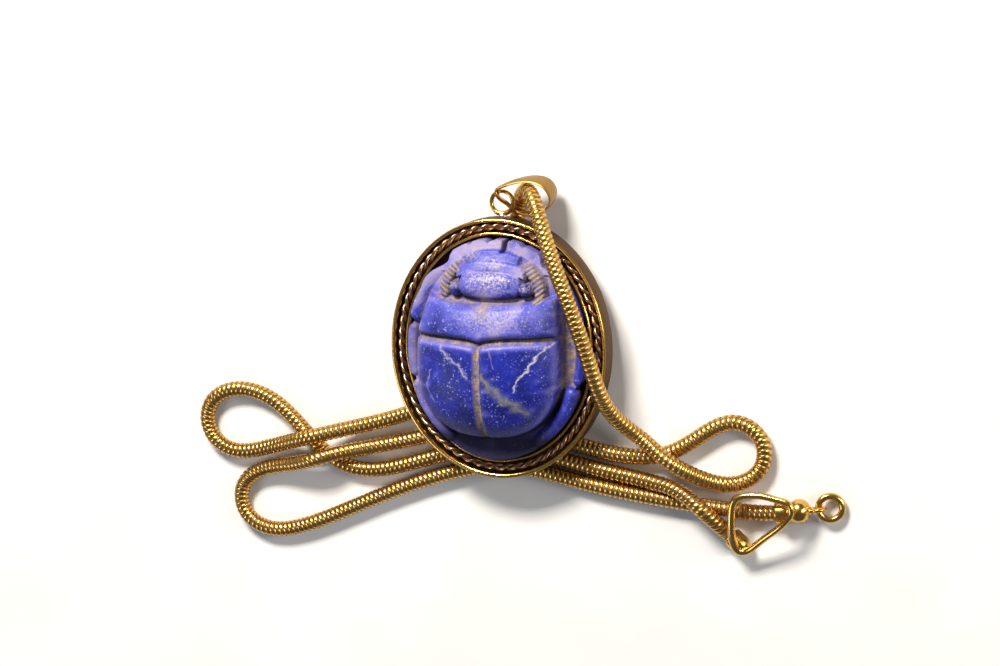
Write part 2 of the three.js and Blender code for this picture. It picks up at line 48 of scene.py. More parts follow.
# Camera: how far it is turned to the right and raised towards the head, and what is in the middle
# of the picture
CAMERA_TURN = math.radians(19)
CAMERA_RISE = math.radians(10)
CAMERA_DISTANCE = 420.0
CAMERA_SENSOR = 36
CAMERA_CLIP_START = 0.01
VIEW_WIDTH = 173.6
VIEW_SHIFT_RIGHT = 0.35
VIEW_SHIFT_UP = 2.6

# Lights in metres: name, place, size, watts and colour
LIGHTS = (
    ("key_light", (-0.10, 0.34, 0.32), (0.16, 0.10), 4.5, (1.0, 0.95, 0.88)),
    ("side_light", (0.42, 0.10, 0.22), (0.10, 0.30), 1.2, (1.0, 0.96, 0.90)),
    ("fill_light", (-0.35, -0.20, 0.35), (0.20, 0.20), 0.6, (0.88, 0.93, 1.0)),
)
SKY_COLOUR = (0.80, 0.85, 1.0, 1)
SKY_STRENGTH = 0.14
FLOOR_Z = -5.25
FLOOR_HALF_WIDTH = 3000

# Colours of the stone, of its wear and of a painted highlight on it, and of the dirt and painted shade in
# its lines
DEEP_BLUE = (0.005, 0.008, 0.12)
CLEAR_BLUE = (0.010, 0.016, 0.27)
STREAK_BLUE = (0.05, 0.07, 0.42)
PALE_VIOLET = (0.06, 0.065, 0.40)
PALE_LAVENDER = (0.25, 0.21, 0.40)
PALE_SPECK = (0.45, 0.48, 0.80)
TAN_GRAIN = (0.40, 0.34, 0.33)
WHITE_VEIN = (0.50, 0.49, 0.60)
GREY_BAND = (0.10, 0.15, 0.28)
BRASSY_ORE = (0.22, 0.18, 0.10)
DARK_CLAY = (0.19, 0.13, 0.105)
LIGHT_CLAY = (0.41, 0.31, 0.255)
SHADE = (0.006, 0.004, 0.008)
FLOOR_COLOURS = ((0.70, 0.69, 0.67), (0.76, 0.75, 0.73))

# Metals: their bright colour, the colour of their painted shade and grime, and their roughness
METALS = {
    "gold": ((0.74, 0.44, 0.11), (0.05, 0.02, 0.006), 0.22),
    "chain_gold": ((0.76, 0.44, 0.12), (0.05, 0.018, 0.005), 0.25),
    "rope_bronze": ((0.30, 0.19, 0.12), (0.02, 0.012, 0.008), 0.3),
    "solder_metal": ((0.85, 0.66, 0.58), (0.4, 0.25, 0.18), 0.3),
}
SMEAR_SHARE = 0.84
HOLLOW_ROUGHER = 0.3

# Frame
FRAME_HALF_WIDTH = 19.45
FRAME_HALF_HEIGHT = 22.55
FRAME_BACK = -2.0
RIM_TOP = 2.5
INNER_RIM_TOP = 2.65
WALL = 0.6
CHANNEL_WIDTH = 1.7
INNER_WALL = 0.5
FLOOR_TOP = 0.6
LEDGE_WIDTH = 1.3
# How much wider the channel is at its left side and at its foot
LEFT_BULGE = 0.5
FOOT_BULGE = 0.65
GAP = 0.3
CORNER = 0.1
# Rounding of each rim's top: its width, and how far in and down its middle lies
RIM_ROUNDING = (0.22, 0.08, 0.07)
INNER_RIM_ROUNDING = (0.2, 0.07, 0.06)
# Unevenness of the rims above a height: size, number of waves round the frame and phase of each part
UNEVEN_FROM = 1.5
RIM_WOBBLE = ((0.035, 5, 1), (0.028, 9, 2), (0.021, 17, 0))
RIM_LIFT = ((0.05, 7, 0.5), (0.03, 13, 2.6))
MOST_RIM_LIFT = 0.02
# Painted shade on the channel floor, on the ledge inside the inner rim and on the outer face
CHANNEL_SHADE = 0.9
LEDGE_SHADE = 1.0
OUTSIDE_SHADE = 0.92
FRAME_STEPS = 320

# Rope wire
ROPE_TURNS = 30
ROPE_STEPS_A_TURN = 24
ROPE_SIDES = 12
ROPE_STRAND = 0.37
ROPE_OFFSET = 0.33
# How high above its foot painted shade starts to darken the wire, and over what drop
ROPE_SHADE_TOP = 1.0
ROPE_SHADE_DROP = 0.7
OVAL_SAMPLES = 4001

# Stone: outline, and the heights of its carved forms above the flat base
STONE_HALF_WIDTH = 16.2
STONE_HALF_LENGTH = 19.35
GIRDLE_BOTTOM = 0.9
BASE_SHARE = 0.925
EDGE_TOP = 2.9
# The edge is lower round the tail: by how much, from which Y and over what run
TAIL_EDGE = {"drop": 1.7, "start": -13, "run": -3}
BODY_X = -0.7
# The line between the chest and the wing cases, with a dip in its middle
WING_LINE = {"y": 3, "slope": 0.02, "dip": 0.9, "dip_width": 2.2}
# The line between the head and the chest, bowed round the head
CHEST_LINE = {"y": 8.65, "slope": 0.03, "bow": 0.009}
WING_HALF_WIDTH = 12.9
WING_CREST_Y = -2.0
WING_TAIL = 13.3
WING_HEAD = 20.0
WING_EDGE = 5.0
WING_TOP = 12.3
WING_SQUARENESS = 2.4
WING_ROUNDNESS = 2.2
# How far the wing cases round off towards the line in front of them
SHOULDER_DROP = 1.1
SHOULDER_WIDTH = 0.8
SHOULDER_REACH = 9
CHEST_HALF_WIDTH = 12.9
CHEST_TAPER = 2.0
CHEST_RIGHT_SHARE = 0.1
CHEST_EDGE = 4.8
CHEST_TOP = 12.0
CHEST_DROP = 1.7
CHEST_DROP_POWER = 2.2
CHEST_ROUNDNESS = 2.3
# How far the chest rounds off towards the head and towards the wing cases, and over what share of it
CHEST_LIP_DROP = 0.8
CHEST_LIP_SHARE = 0.1
CHEST_BACK_DROP = 0.2
CHEST_BACK_SHARE = 0.05
# Each form of the head slopes down towards +Y and bows down towards its sides
NECK = {"top": 7.6, "y": 10, "slope": 0.3, "bow": 0.025}
HEAD_X = 0.3
HEAD_Y = 11.8
HEAD_TOP = 9.3
HEAD_HALF_WIDTH = 5.6
HEAD_HALF_LENGTH = 2.4
HEAD_EDGE = 7.5
HEAD_SQUARENESS = 3
HEAD_ROUNDNESS = 2.5
HEAD_SLOPE = 0.15
EYE = {"x": 6.35, "y": 11.0, "edge": 6.8, "top": 8.8, "rx": 1.15, "ry": 1.35, "roundness": 2}
# The hatched bands beside the eyes, as points of the right one
CHEEK = {
    "points": ((6.6, 14.4), (7.8, 13.0), (8.5, 11.5), (8.6, 10.0)),
    "radius": 1.05,
    "edge": 5.4,
    "top": 7.1,
    "roundness": 3,
    "hatched_share": 0.95,
    "dirty_share": 0.97,
}
HATCH_PITCH = 0.75
HATCH_DEPTH = 0.3
HATCH_ACROSS = 0.6
HATCH_FORWARD = 0.8
HATCH_SHARPNESS = 6
# y is the back edge and curve is how fast it falls back towards its sides
BROW = {"y": 14.1, "top": 8.2, "half_width": 6.2, "slope": 0.3, "bow": 0.02, "curve": 0.035}
CROWN = {"y": 15.85, "top": 7.3, "half_width": 4.8, "slope": 0.35, "bow": 0.03, "curve": 0.03}
CROWN_FRONT = {"y": 17.8, "curve": 0.05}
# The line scored along the brow's back edge
SCORE_DEPTH = 0.25
SCORE_HALF_WIDTH = 0.16
SHIELD = {"back": 13.4, "y": 15, "top": 6.0, "slope": 0.4, "bow": 0.02}
SHIELD_FRONT = 19.2
SHIELD_CORNER = 3.1
GROOVE_HALF_WIDTH = 0.6
GROOVE_DEPTH = 0.75
# Gaps between the teeth of the shield: place, depth, half width and how square they are
TOOTH_GAPS = ((-4.7, 0.7, 0.65, 2), (-1.1, 0.55, 0.6, 2), (2.05, 2.0, 0.5, 8), (5.1, 0.7, 0.65, 2))
# Notches in the outline between the legs, and the wider one behind the shield
NOTCHES = ((4.4, 0.85, 0.7), (-5.9, 0.85, 0.7), (14.9, 1.7, 1.3))

# Legs beside the body, each a ridge along a few points of the right side
LEGS = (
    {"points": ((8.9, 14.0), (11.6, 12.2), (13.8, 9.4), (15.0, 5.8)), "radius": 2.0, "top": 4.5},
    {"points": ((15.2, 3.0), (15.5, -0.8), (15.0, -4.8)), "radius": 1.1, "top": 4.3},
    {"points": ((13.9, -7.0), (13.0, -10.0), (10.8, -13.2), (8.2, -15.6)), "radius": 1.5, "top": 5.0},
)
LEG_ROUNDNESS = 2

# The stone's grid: how its rows bend round the tail, the teeth and the carved lines
STONE_ROWS = 290
STONE_COLUMNS = 300
COLUMN_SPREAD = 0.2
TAIL_ROWS = {"start": -12, "bend": 3.3, "arc": 0.556}
FRONT_ROWS = {"start": 13, "curved": 0.35, "corner": 0.65, "corner_power": 7, "tooth_power": 4}
WING_ROWS = {"y": 2.1, "run": 3, "ends": 0.9}
CHEST_ROWS = {"y": 8.65, "run": 3, "ends": 1.8}
# The rings under the top: share of the outline and height
STONE_FOOT = ((1, GIRDLE_BOTTOM), (BASE_SHARE, GIRDLE_BOTTOM), (BASE_SHARE, 0))
TOP_BLUR = 2
# Unevenness of the top: height, size and seed
STONE_LUMPS = ((0.05, 5.0, 1), (0.02, 1.3, 2))

# Dirt, painted shade, wear and a painted highlight beside the carved lines: strength, how far past the line
# and half width
WING_EDGE_DIRT = (0.8, -0.62, 0.3)
NECK_DIRT = (0.85, 0.2, 0.35)
NECK_DIRT_HALF_WIDTH = 10.5
LEFT_SIDE_DIRT = (0.55, -14.6, 1.6)
LEFT_SIDE_Y = (-14, 4)
RIGHT_FLOOR_Y = (-8, 8)
RIGHT_FLOOR_RISE = 1.2
HEAD_SHADE = (1, 0.85, 0.35)
HEAD_SHADE_HALF_WIDTH = 7.7
CROSS_SHADE = (1, 0.05, 0.3)
SEAM_SHADE = (0.6, 0.68, 0.1)
SEAM_SHADE_END = -14
BODY_LINE_HALF_WIDTH = 12.2
# The pale band behind the line in front of the wing cases is a painted highlight with some wear
WING_EDGE_WEAR_AND_HIGHLIGHT = (0.42, -1.1, 0.5)
WING_EDGE_HIGHLIGHT_HALF_WIDTH = 11.5
# Spots: place, half width and half length
THROAT = (-0.2, 8.7, 1.5, 2.0)
THROAT_LIGHT_WIDTH = 1.2
UNDER_EYES = (3.4, 10.3, 1.7, 0.7)
# Spots of grain, with the strength first
GRAIN_SPOTS = (
    (1, (HEAD_X, 12.6, 4.4, 1.9)),
    (0.8, (-3.8, 16.9, 1.7, 1.0)),
    (0.8, (0.6, 15.4, 2.0, 1.1)),
    (0.6, (2.0, 6.2, 6.0, 2.2)),
    (0.5, (-0.5, 6.0, 2.4, 1.6)),
)
EYE_GRAIN = 0.5
# Where the tail's shade starts, and over what run, and the same with a strength for that under it
TAIL_SHADE = (-6, -4)
UNDER_TAIL_SHADES = ((0.6, (-11, -4)), (0.97, (-13.5, -2)))
# How pale each form is worn. The chest is palest right of its middle
WEAR = {
    "shield": 0.95, "crown": 0.35, "brow": 0.7, "shoulder": 0.6, "head": 0.4,
    "left_ground": 0.6, "right_ground": 0.15, "ridge": 0.6, "eye": 0.1,
}
SHIELD_WEAR_BACK = 13
SHOULDER_WEAR_START = 7.4
CHEST_WEAR = 0.16
CHEST_WEAR_SPOT = (0.46, 3, 5.0)
CHEST_WEAR_SLOPE = 0.03
GROUND_TOP = 5.3

# Lines in the colour of the stone: points on its top, and for the white ones the strength and half width
WHITE_VEINS = (
    (((11.6, 2.2), (10.2, 1.2), (8.6, -0.8), (8.0, -2.2), (6.4, -3.6), (5.6, -6.1)), 0.95, 0.13),
    (((-7.4, 1.2), (-5.2, -1.0), (-4.0, -1.4), (-2.4, -3.8)), 0.5, 0.24),
    (((-9.6, -3.0), (-10.4, -6.0), (-9.0, -8.6)), 0.35, 0.15),
    (((1.6, 1.4), (2.4, -1.8)), 0.2, 0.12),
)
ORE_BAND = ((0.3, -3.6), (2.8, -6.2), (5.0, -7.8), (7.6, -9.8))
ORE_HALF_WIDTH = 0.65
# How those lines shake: how far, and size and seed for X and for Y
VEIN_SHAKE = (0.22, (1.3, 8), (1.2, 9))
ORE_SHAKE = (0.4, (2.2, 10), (2.0, 11))

# Hanging ring, its solder and the bail
RING_RADIUS = 1.95
RING_WIRE = 0.38
RING_Z = 0.25
RING_Y = FRAME_HALF_HEIGHT + GAP + RING_WIRE + RING_RADIUS
RING_FOOT_GAIN = 0.25
RING_FOOT_WIDTH = 0.25
SOLDER_PROFILE = (
    (0, -0.5), (0.35, -0.5), (0.5, -0.2), (0.62, 0.15), (0.58, 0.45), (0.36, 0.75), (0.16, 0.85), (0, 0.85),
)
SOLDER_PLACE = (0.1, FRAME_HALF_HEIGHT + 0.05, RING_Z + 0.1)
SOLDER_STRETCH = 1.25
SOLDER_LUMPS = (0.06, 1.0, 21)
BAIL_THICKNESS = 0.45
BAIL_LEAN = 0.27
# The bail's strip: X, Y, Z and half width
BAIL = (
    (-0.6, 27.5, 1.4, 0.45), (-0.6, 26.7, 1.4, 0.45), (-0.2, 25.9, 0.9, 0.45), (0.6, 25.1, 0.0, 0.45),
    (1.3, 24.2, -0.85, 0.4), (2.4, 23.6, -0.95, 0.5), (4.4, 23.3, -0.75, 1.0), (6.7, 23.8, -0.5, 1.6),
    (8.5, 25.0, -0.1, 1.9), (9.1, 26.9, 0.0, 2.0), (7.8, 28.8, 0.1, 1.9), (5.2, 29.4, 0.4, 1.5),
    (2.4, 28.9, 0.8, 1.0), (0.4, 28.1, 1.2, 0.6),
)
# Across the strip: share of the half thickness outwards and share of the half width up
BAIL_SECTION = (
    (-1, -0.8), (-0.6, -1), (0.6, -1), (1, -0.8), (1.25, 0), (1, 0.8), (0.6, 1), (-0.6, 1), (-1, 0.8),
    (-0.75, 0),
)
# Painted shade on the strip's inner and outer faces
BAIL_INSIDE_SHADE = 0.25
BAIL_OUTSIDE_SHADE = 0.6

# Chain
CHAIN_DIAMETER = 2.8
LINK_PITCH = 0.93
LINK_STEPS = 6
CHAIN_SIDES = 20
# Relief of the link plates: depth as a share of the radius, the power of their backs, and the power of the
# painted shade and grime in their hollows
LINK_RELIEF = 0.16
LINK_ROUNDNESS = 0.6
LINK_HOLLOW_POWER = 1.3
# How far the plates slant and bend, in links, and how the slant sways round the chain along it
LINK_SLANT = 0.34
LINK_BEND = 0.05
SLANT_SWAY = 0.9
SLANT_SWAY_LINKS = 37.0
CHAIN_END_SHARE = 0.9
SPAN_STEPS = 60
LOW = FRAME_BACK - GAP - CHAIN_DIAMETER / 2
UP = 0.3
SIDE = -1.9
CHAIN_ROUTE = (
    (41.0, -31.9, -3.3), (39.4, -30.5, -3.1), (36.4, -26.8, 0.45), (32.0, -23.7, SIDE),
    (24.4, -22.8, LOW), (13.0, -21.2, LOW), (0.0, -18.0, LOW), (-13.0, -21.0, LOW),
    (-23.0, -25.0, LOW), (-32.0, -25.4, LOW), (-38.4, -20.0, LOW), (-44.4, -13.2, LOW),
    (-52.6, -10.8, LOW), (-59.2, -14.1, LOW), (-59.2, -20.8, LOW), (-53.6, -24.3, LOW),
    (-46.4, -22.2, LOW), (-41.6, -20.5, SIDE), (-36.8, -19.0, UP), (-31.8, -17.7, SIDE),
    (-23.0, -15.6, LOW), (-12.0, -11.4, LOW), (-4.4, -2.0, LOW), (-0.8, 9.0, LOW),
    (1.1, 18.4, -3.8), (1.5, 25.4, -3.9), (4.7, 28.5, 0.3), (7.7, 25.0, 4.8), (9.6, 19.4, 5.8),
    (13.6, 11.2, 7.8), (16.8, 2.2, 6.6), (18.9, -6.0, 5.6), (20.8, -11.4, 1.8),
    (25.0, -15.4, -2.4), (30.2, -18.8, UP + 0.1), (35.4, -21.6, SIDE), (40.8, -23.2, LOW),
    (46.3, -20.0, LOW), (46.3, -13.7, LOW), (40.7, -10.5, LOW), (35.0, -14.1, LOW),
    (29.2, -18.8, LOW), (19.6, -19.2, LOW), (9.4, -16.6, LOW), (-3.0, -14.0, LOW),
    (-15.0, -17.9, LOW), (-25.6, -20.6, LOW), (-31.0, -21.6, SIDE), (-36.0, -23.0, UP),
    (-41.0, -24.8, SIDE), (-47.0, -25.8, LOW), (-52.6, -28.8, LOW), (-52.6, -35.2, LOW),
    (-46.6, -38.6, LOW), (-38.0, -36.2, LOW), (-26.0, -30.2, LOW), (-13.0, -24.6, LOW),
    (0.0, -21.3, LOW), (13.0, -24.4, LOW), (25.0, -25.9, LOW), (36.6, -26.9, LOW),
    (45.3, -27.2, -3.3), (49.0, -26.65, -2.9),
)

# Clasp, end cap and end ring. The profiles are pairs of radius and distance along the chain
CLASP_WIRE = 0.65
CLASP_LOOP = (
    (41.5, -25.2, -0.4), (43.0, -23.7, -0.2), (46.0, -23.3, -0.1), (49.0, -23.7, 0.0),
    (51.2, -24.3, 0.1), (51.7, -26.0, 0.1), (50.0, -28.3, 0.0), (46.9, -31.0, -0.9),
    (44.2, -33.4, -2.0), (42.5, -33.9, -2.1), (41.6, -32.6, -1.3), (41.2, -29.4, -0.7),
)
# The wire is thinnest away from the corner at the chain and from the loop's left side
CLASP_THINNEST = 0.9
CLASP_GAIN = 0.2
CLASP_CORNER = CLASP_LOOP[9]
CLASP_CORNER_WIDTH = 2.4
CLASP_LEFT_X = CLASP_LOOP[-1][0]
CLASP_LEFT_WIDTH = 1.5
CLASP_CAP = ((1.75, 0.3), (1.75, 2.0), (1.0, 3.0), (0, 3.0))
# How far each end's socket reaches back over the chain, its play, and how its mouth is bevelled
SOCKET_DEPTH = 0.8
SOCKET_PLAY = 0.02
SOCKET_BEVEL_IN = 0.15
SOCKET_BEVEL_BACK = 0.2
CAP_PLACE = (49.3, -26.6, -2.9)
CAP_TURN = 0.15
CAP_PROFILE = (
    (2.05, 0.25), (2.05, 1.5), (1.65, 1.75), (1.75, 2.0), (2.1, 2.7), (2.15, 3.4), (1.95, 4.2),
    (1.4, 4.8), (0.8, 5.1), (0.65, 5.4), (0, 5.4),
)
CAP_LENGTH = CAP_PROFILE[-1][1]
LUG_RADIUS = 1.15
LUG_WIRE = 0.36
LUG_SUNK = 0.1
LUG_X = CAP_LENGTH + LUG_RADIUS - LUG_SUNK
LUG_DROP = 0.4
END_RING_RADIUS = 2.05
END_RING_WIRE = 0.6
END_RING_TILT = 0.22
END_RING_DROP = 0.9


# Camera, light and floor


def make_camera():
    turn, rise = CAMERA_TURN, CAMERA_RISE
    back = Vector((math.sin(turn) * math.cos(rise), math.sin(rise), math.cos(turn) * math.cos(rise)))
    right = Vector((math.cos(turn), 0, -math.sin(turn)))
    up = back.cross(right)
    target = Vector((0, 0, RIM_TOP)) + right * VIEW_SHIFT_RIGHT + up * VIEW_SHIFT_UP
    data = bpy.data.cameras.new("camera")
    data.sensor_width = CAMERA_SENSOR
    data.lens = CAMERA_SENSOR * CAMERA_DISTANCE / VIEW_WIDTH
    data.clip_start = CAMERA_CLIP_START
    camera = bpy.data.objects.new("camera", data)
    camera.location = (target + back * CAMERA_DISTANCE) * MM
    camera.rotation_euler = Matrix((right, up, back)).transposed().to_euler()
    bpy.context.collection.objects.link(camera)
    bpy.context.scene.camera = camera


def make_lights():
    """Rectangular lights that face the origin, and a faint sky."""
    for name, place, size, watts, colour in LIGHTS:
        data = bpy.data.lights.new(name, "AREA")
        data.shape = "RECTANGLE"
        data.size, data.size_y = size
        data.energy = watts
        data.color = colour
        light = bpy.data.objects.new(name, data)
        light.location = place
        light.rotation_euler = Vector(place).to_track_quat("Z", "Y").to_euler()
        bpy.context.collection.objects.link(light)
    world = bpy.data.worlds.new("studio")
    world.use_nodes = True
    background = world.node_tree.nodes["Background"]
    background.inputs["Color"].default_value = SKY_COLOUR
    background.inputs["Strength"].default_value = SKY_STRENGTH
    bpy.context.scene.world = world
    bpy.context.scene.view_settings.view_transform = "Standard"


# Materials


class Nodes:
    """Short calls for building one material's nodes."""

    def __init__(self, name):
        self.material = bpy.data.materials.new(name)
        self.material.use_nodes = True
        self.tree = self.material.node_tree
        self.shader = self.tree.nodes["Principled BSDF"]

    def feed(self, socket, value):
        """Gives a socket another node's output, a number or a colour."""
        if isinstance(value, bpy.types.NodeSocket):
            self.tree.links.new(value, socket)
        elif socket.type == "RGBA":
            socket.default_value = (*value, 1)
        else:
            socket.default_value = value

    def add(self, kind, values=None, **settings):
        node = self.tree.nodes.new(kind)
        for key, value in settings.items():
            setattr(node, key, value)
        for key, value in (values or {}).items():
            self.feed(node.inputs[key], value)
        return node

    def place(self):
        return self.add("ShaderNodeTexCoord").outputs["Object"]

    def attribute(self, name):
        return self.add("ShaderNodeAttribute", attribute_name=name).outputs["Fac"]

    def noise(self, vector, scale, detail=4.0, roughness=0.55):
        return self.add("ShaderNodeTexNoise", {
            "Vector": vector, "Scale": scale, "Detail": detail, "Roughness": roughness,
        }).outputs["Fac"]

    def ramp(self, value, low, high, bottom=0.0, top=1.0):
        """From bottom where the value is low to top where it is high."""
        return self.add("ShaderNodeMapRange", {
            "Value": value, "From Min": low, "From Max": high, "To Min": bottom, "To Max": top,
        }, interpolation_type="SMOOTHSTEP").outputs["Result"]

    def patches(self, vector, scale, low, high, bottom=0.0, top=1.0, **noise_settings):
        """Soft patches: noise sent through a ramp."""
        return self.ramp(self.noise(vector, scale, **noise_settings), low, high, bottom, top)

    def combine(self, operation, first, second):
        node = self.add("ShaderNodeMath", operation=operation, use_clamp=True)
        self.feed(node.inputs[0], first)
        self.feed(node.inputs[1], second)
        return node.outputs[0]

    def plus(self, first, second):
        return self.combine("ADD", first, second)

    def times(self, first, second):
        return self.combine("MULTIPLY", first, second)

    def mix(self, share, first, second):
        """The first colour, with a share of the second one over it."""
        node = self.add("ShaderNodeMix", data_type="RGBA")
        self.feed(node.inputs[0], share)
        self.feed(node.inputs[6], first)
        self.feed(node.inputs[7], second)
        return node.outputs[2]

    def set(self, socket, value):
        self.feed(self.shader.inputs[socket], value)

    def bump(self, height, distance, strength=1.0):
        node = self.add("ShaderNodeBump", {"Height": height, "Distance": distance, "Strength": strength})
        self.set("Normal", node.outputs["Normal"])


def stone_material():
    """Lapis: deep blue paled to violet and lavender by wear and a painted highlight, with white and brassy
    specks, tan dirt and painted shade.
    """
    made = Nodes("lapis")
    at = made.place()
    cloud = made.patches(at, 190, 0.35, 0.68, detail=5)
    colour = made.mix(cloud, DEEP_BLUE, CLEAR_BLUE)
    long_at = made.add("ShaderNodeMapping", {
        "Vector": at, "Rotation": (0, 0, 0.6), "Scale": (1.0, 0.3, 1.0),
    }).outputs["Vector"]
    streak = made.patches(long_at, 1000, 0.58, 0.74, top=0.6, detail=5, roughness=0.65)
    colour = made.mix(streak, colour, STREAK_BLUE)

    wear_and_highlight = made.plus(made.attribute("wear_and_highlight"), made.patches(at, 420, 0.55, 0.8, top=0.12))
    # Wear, and the painted highlight on the wing cases, turn the blue violet and then lavender
    colour = made.mix(made.ramp(wear_and_highlight, 0, 0.5), colour, PALE_VIOLET)
    colour = made.mix(made.ramp(wear_and_highlight, 0.4, 1), colour, PALE_LAVENDER)

    cluster = made.patches(at, 330, 0.42, 0.62, bottom=0.2, detail=3)
    speck = made.times(made.patches(at, 2600, 0.61, 0.71, top=0.7, detail=2), cluster)
    colour = made.mix(speck, colour, PALE_SPECK)
    grain = made.patches(at, 2300, 0.44, 0.58, detail=5, roughness=0.75)
    colour = made.mix(made.times(made.attribute("grain"), grain), colour, TAN_GRAIN)
    vein = made.patches(at, 1500, 0.3, 0.55, bottom=0.25)
    colour = made.mix(made.times(made.attribute("vein"), vein), colour, WHITE_VEIN)

    colour = made.mix(made.times(made.attribute("ore"), 0.6), colour, GREY_BAND)
    ore_speck = made.patches(at, 1900, 0.69, 0.72, top=0.8, detail=3, roughness=0.6)
    ore_grain = made.patches(at, 1400, 0.36, 0.62, detail=5, roughness=0.7)
    ore = made.plus(ore_speck, made.times(made.attribute("ore"), ore_grain))
    colour = made.mix(ore, colour, BRASSY_ORE)

    clay = made.mix(made.patches(at, 2200, 0.3, 0.7, roughness=0.7), DARK_CLAY, LIGHT_CLAY)
    dirt = made.times(made.attribute("dirt"), made.patches(at, 1100, 0.2, 0.5, bottom=0.55))
    colour = made.mix(dirt, colour, clay)
    shade = made.times(made.attribute("shade"), 0.94)
    made.set("Base Color", made.mix(shade, colour, SHADE))
    made.set("Roughness", made.ramp(made.plus(dirt, shade), 0, 1, 0.42, 0.9))
    made.set("Specular IOR Level", 0.35)
    made.bump(made.noise(at, 1600, 5, 0.6), 0.00008)
    return made.material


def metal_material(name, bright, dull, roughness):
    """Plated metal, darkened by painted shade and grime at each point and in random patches, with faint
    scratches and smears.
    """
    made = Nodes(name)
    at = made.place()
    smear = made.patches(at, 260, 0.3, 0.75, detail=5)
    colour = made.mix(smear, bright, [SMEAR_SHARE * part for part in bright])
    shade_and_grime = made.plus(made.attribute("shade_and_grime"), made.patches(at, 700, 0.62, 0.8, top=0.35))
    made.set("Base Color", made.mix(shade_and_grime, colour, dull))
    made.set("Metallic", 1.0)
    made.set("Roughness", made.ramp(shade_and_grime, 0, 1, roughness, roughness + HOLLOW_ROUGHER))
    made.bump(made.noise(at, 3000, 3), 0.00003, 0.6)
    return made.material


def floor_material():
    made = Nodes("pale_floor")
    tone = made.patches(made.place(), 30, 0.3, 0.7, detail=3)
    made.set("Base Color", made.mix(tone, *FLOOR_COLOURS))
    made.set("Roughness", 0.75)
    return made.material


# Meshes


def make_mesh(name, points, faces, material, attributes=None, sharp_degrees=50):
    """A new object from points in millimetres."""
    data = bpy.data.meshes.new(name)
    data.from_pydata((np.asarray(points) * MM).tolist(), [], faces)
    data.materials.append(material)
    data.shade_smooth()
    data.set_sharp_from_angle(angle=math.radians(sharp_degrees))
    for key, values in (attributes or {}).items():
        layer = data.attributes.new(key, "FLOAT", "POINT")
        layer.data.foreach_set("value", np.clip(values, 0, 1).astype(np.float32))
    made = bpy.data.objects.new(name, data)
    bpy.context.collection.objects.link(made)
    return made


def dress(piece, node):
    """The piece stands for the CAD node, which is hidden, and hangs from the root body."""
    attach(piece, "root")
    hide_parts(node)


def make_metal(name, node, points, faces, material, shade_and_grime=0, sharp_degrees=50, slot="gold"):
    """A metal piece in place of the CAD node, with how much painted shade and grime darkens it at each
    point.
    """
    shade_and_grime = np.broadcast_to(shade_and_grime, len(points))
    made = make_mesh(name, points, faces, material, {"shade_and_grime": shade_and_grime}, sharp_degrees)
    dress(made, node)
    return made


def tube_faces(rings, sides, closed=True):
    """Quads between rings of points, turned outwards where each ring runs from out to up."""
    faces = []
    for i in range(rings if closed else rings - 1):
        here, after = i * sides, ((i + 1) % rings) * sides
        for j in range(sides):
            k = (j + 1) % sides
            faces.append((here + j, after + j, after + k, here + k))
    if not closed:
        faces.append(tuple(range(sides)))
        faces.append(tuple(reversed(range((rings - 1) * sides, rings * sides))))
    return faces


def unit(vectors):
    return vectors / np.linalg.norm(vectors, axis=-1, keepdims=True)


def full_turn(steps):
    """Even angles round a circle."""
    return 2 * np.pi * np.arange(steps) / steps


def directions(line):
    """Unit vectors along a closed line."""
    return unit(np.roll(line, -1, 0) - np.roll(line, 1, 0))


def round_section(across, over, sides):
    """Unit circles across a line, from its across and over directions."""
    turn = full_turn(sides)[None, :, None]
    return np.cos(turn) * across[:, None] + np.sin(turn) * over[:, None]


def closed_curve(stations, steps):
    """A smooth closed line through stations, with steps points between each two."""
    stations = np.asarray(stations, float)
    t = np.arange(steps)[None, :, None] / steps
    a, b, c, d = (np.roll(stations, shift, 0)[:, None, :] for shift in (1, 0, -1, -2))
    line = 2 * b + (c - a) * t + (2 * a - 5 * b + 4 * c - d) * t**2 + (3 * b - a - 3 * c + d) * t**3
    return (line / 2).reshape(-1, stations.shape[1])


def closed_wire(line, radius, sides):
    """Points and faces of a round wire along a closed line. The radius can change along it."""
    along = directions(line)
    across = unit(np.cross(along, (0, 0, 1)))
    radius = np.broadcast_to(radius, len(line))[:, None, None]
    points = line[:, None] + radius * round_section(across, np.cross(across, along), sides)
    return points.reshape(-1, 3), tube_faces(len(line), sides)


def revolved(profile, sides):
    """A solid of revolution about +X, from a profile of (radius, x) that starts and ends on the axis."""
    middle = [p for p in profile if p[0] > 0]
    points = [(x, r * math.cos(a), r * math.sin(a)) for r, x in middle for a in full_turn(sides)]
    faces = [(face[0], *face[:0:-1]) for face in tube_faces(len(middle), sides, False)]
    return np.array(points), faces


def merged(first, second):
    """Two (points, faces) as one."""
    points, faces = first
    more = [tuple(index + len(points) for index in face) for face in second[1]]
    return np.concatenate((points, second[0])), faces + more


def softened(profile, times=2):
    """A profile with each corner rounded off a little."""
    line = np.asarray(profile, float)
    for _ in range(times):
        before, after = line[:-1], line[1:]
        cut = np.stack((0.75 * before + 0.25 * after, 0.25 * before + 0.75 * after), 1).reshape(-1, 2)
        line = np.concatenate((line[:1], cut[1:-1], line[-1:]))
    return line


# Shape of the stone


def bell(distance, width):
    return np.exp(-((distance / width) ** 2))


def risen(value, start, run):
    """0 up to the start, and 1 from where the value is a run past it. A minus run goes the other way."""
    return np.clip((value - start) / run, 0, 1)


def wing_line(x):
    """The line between the chest and the wing cases, with its dip in the middle."""
    dip = WING_LINE["dip"] * np.exp(-np.abs(x - BODY_X) / WING_LINE["dip_width"])
    return WING_LINE["y"] + WING_LINE["slope"] * x - dip


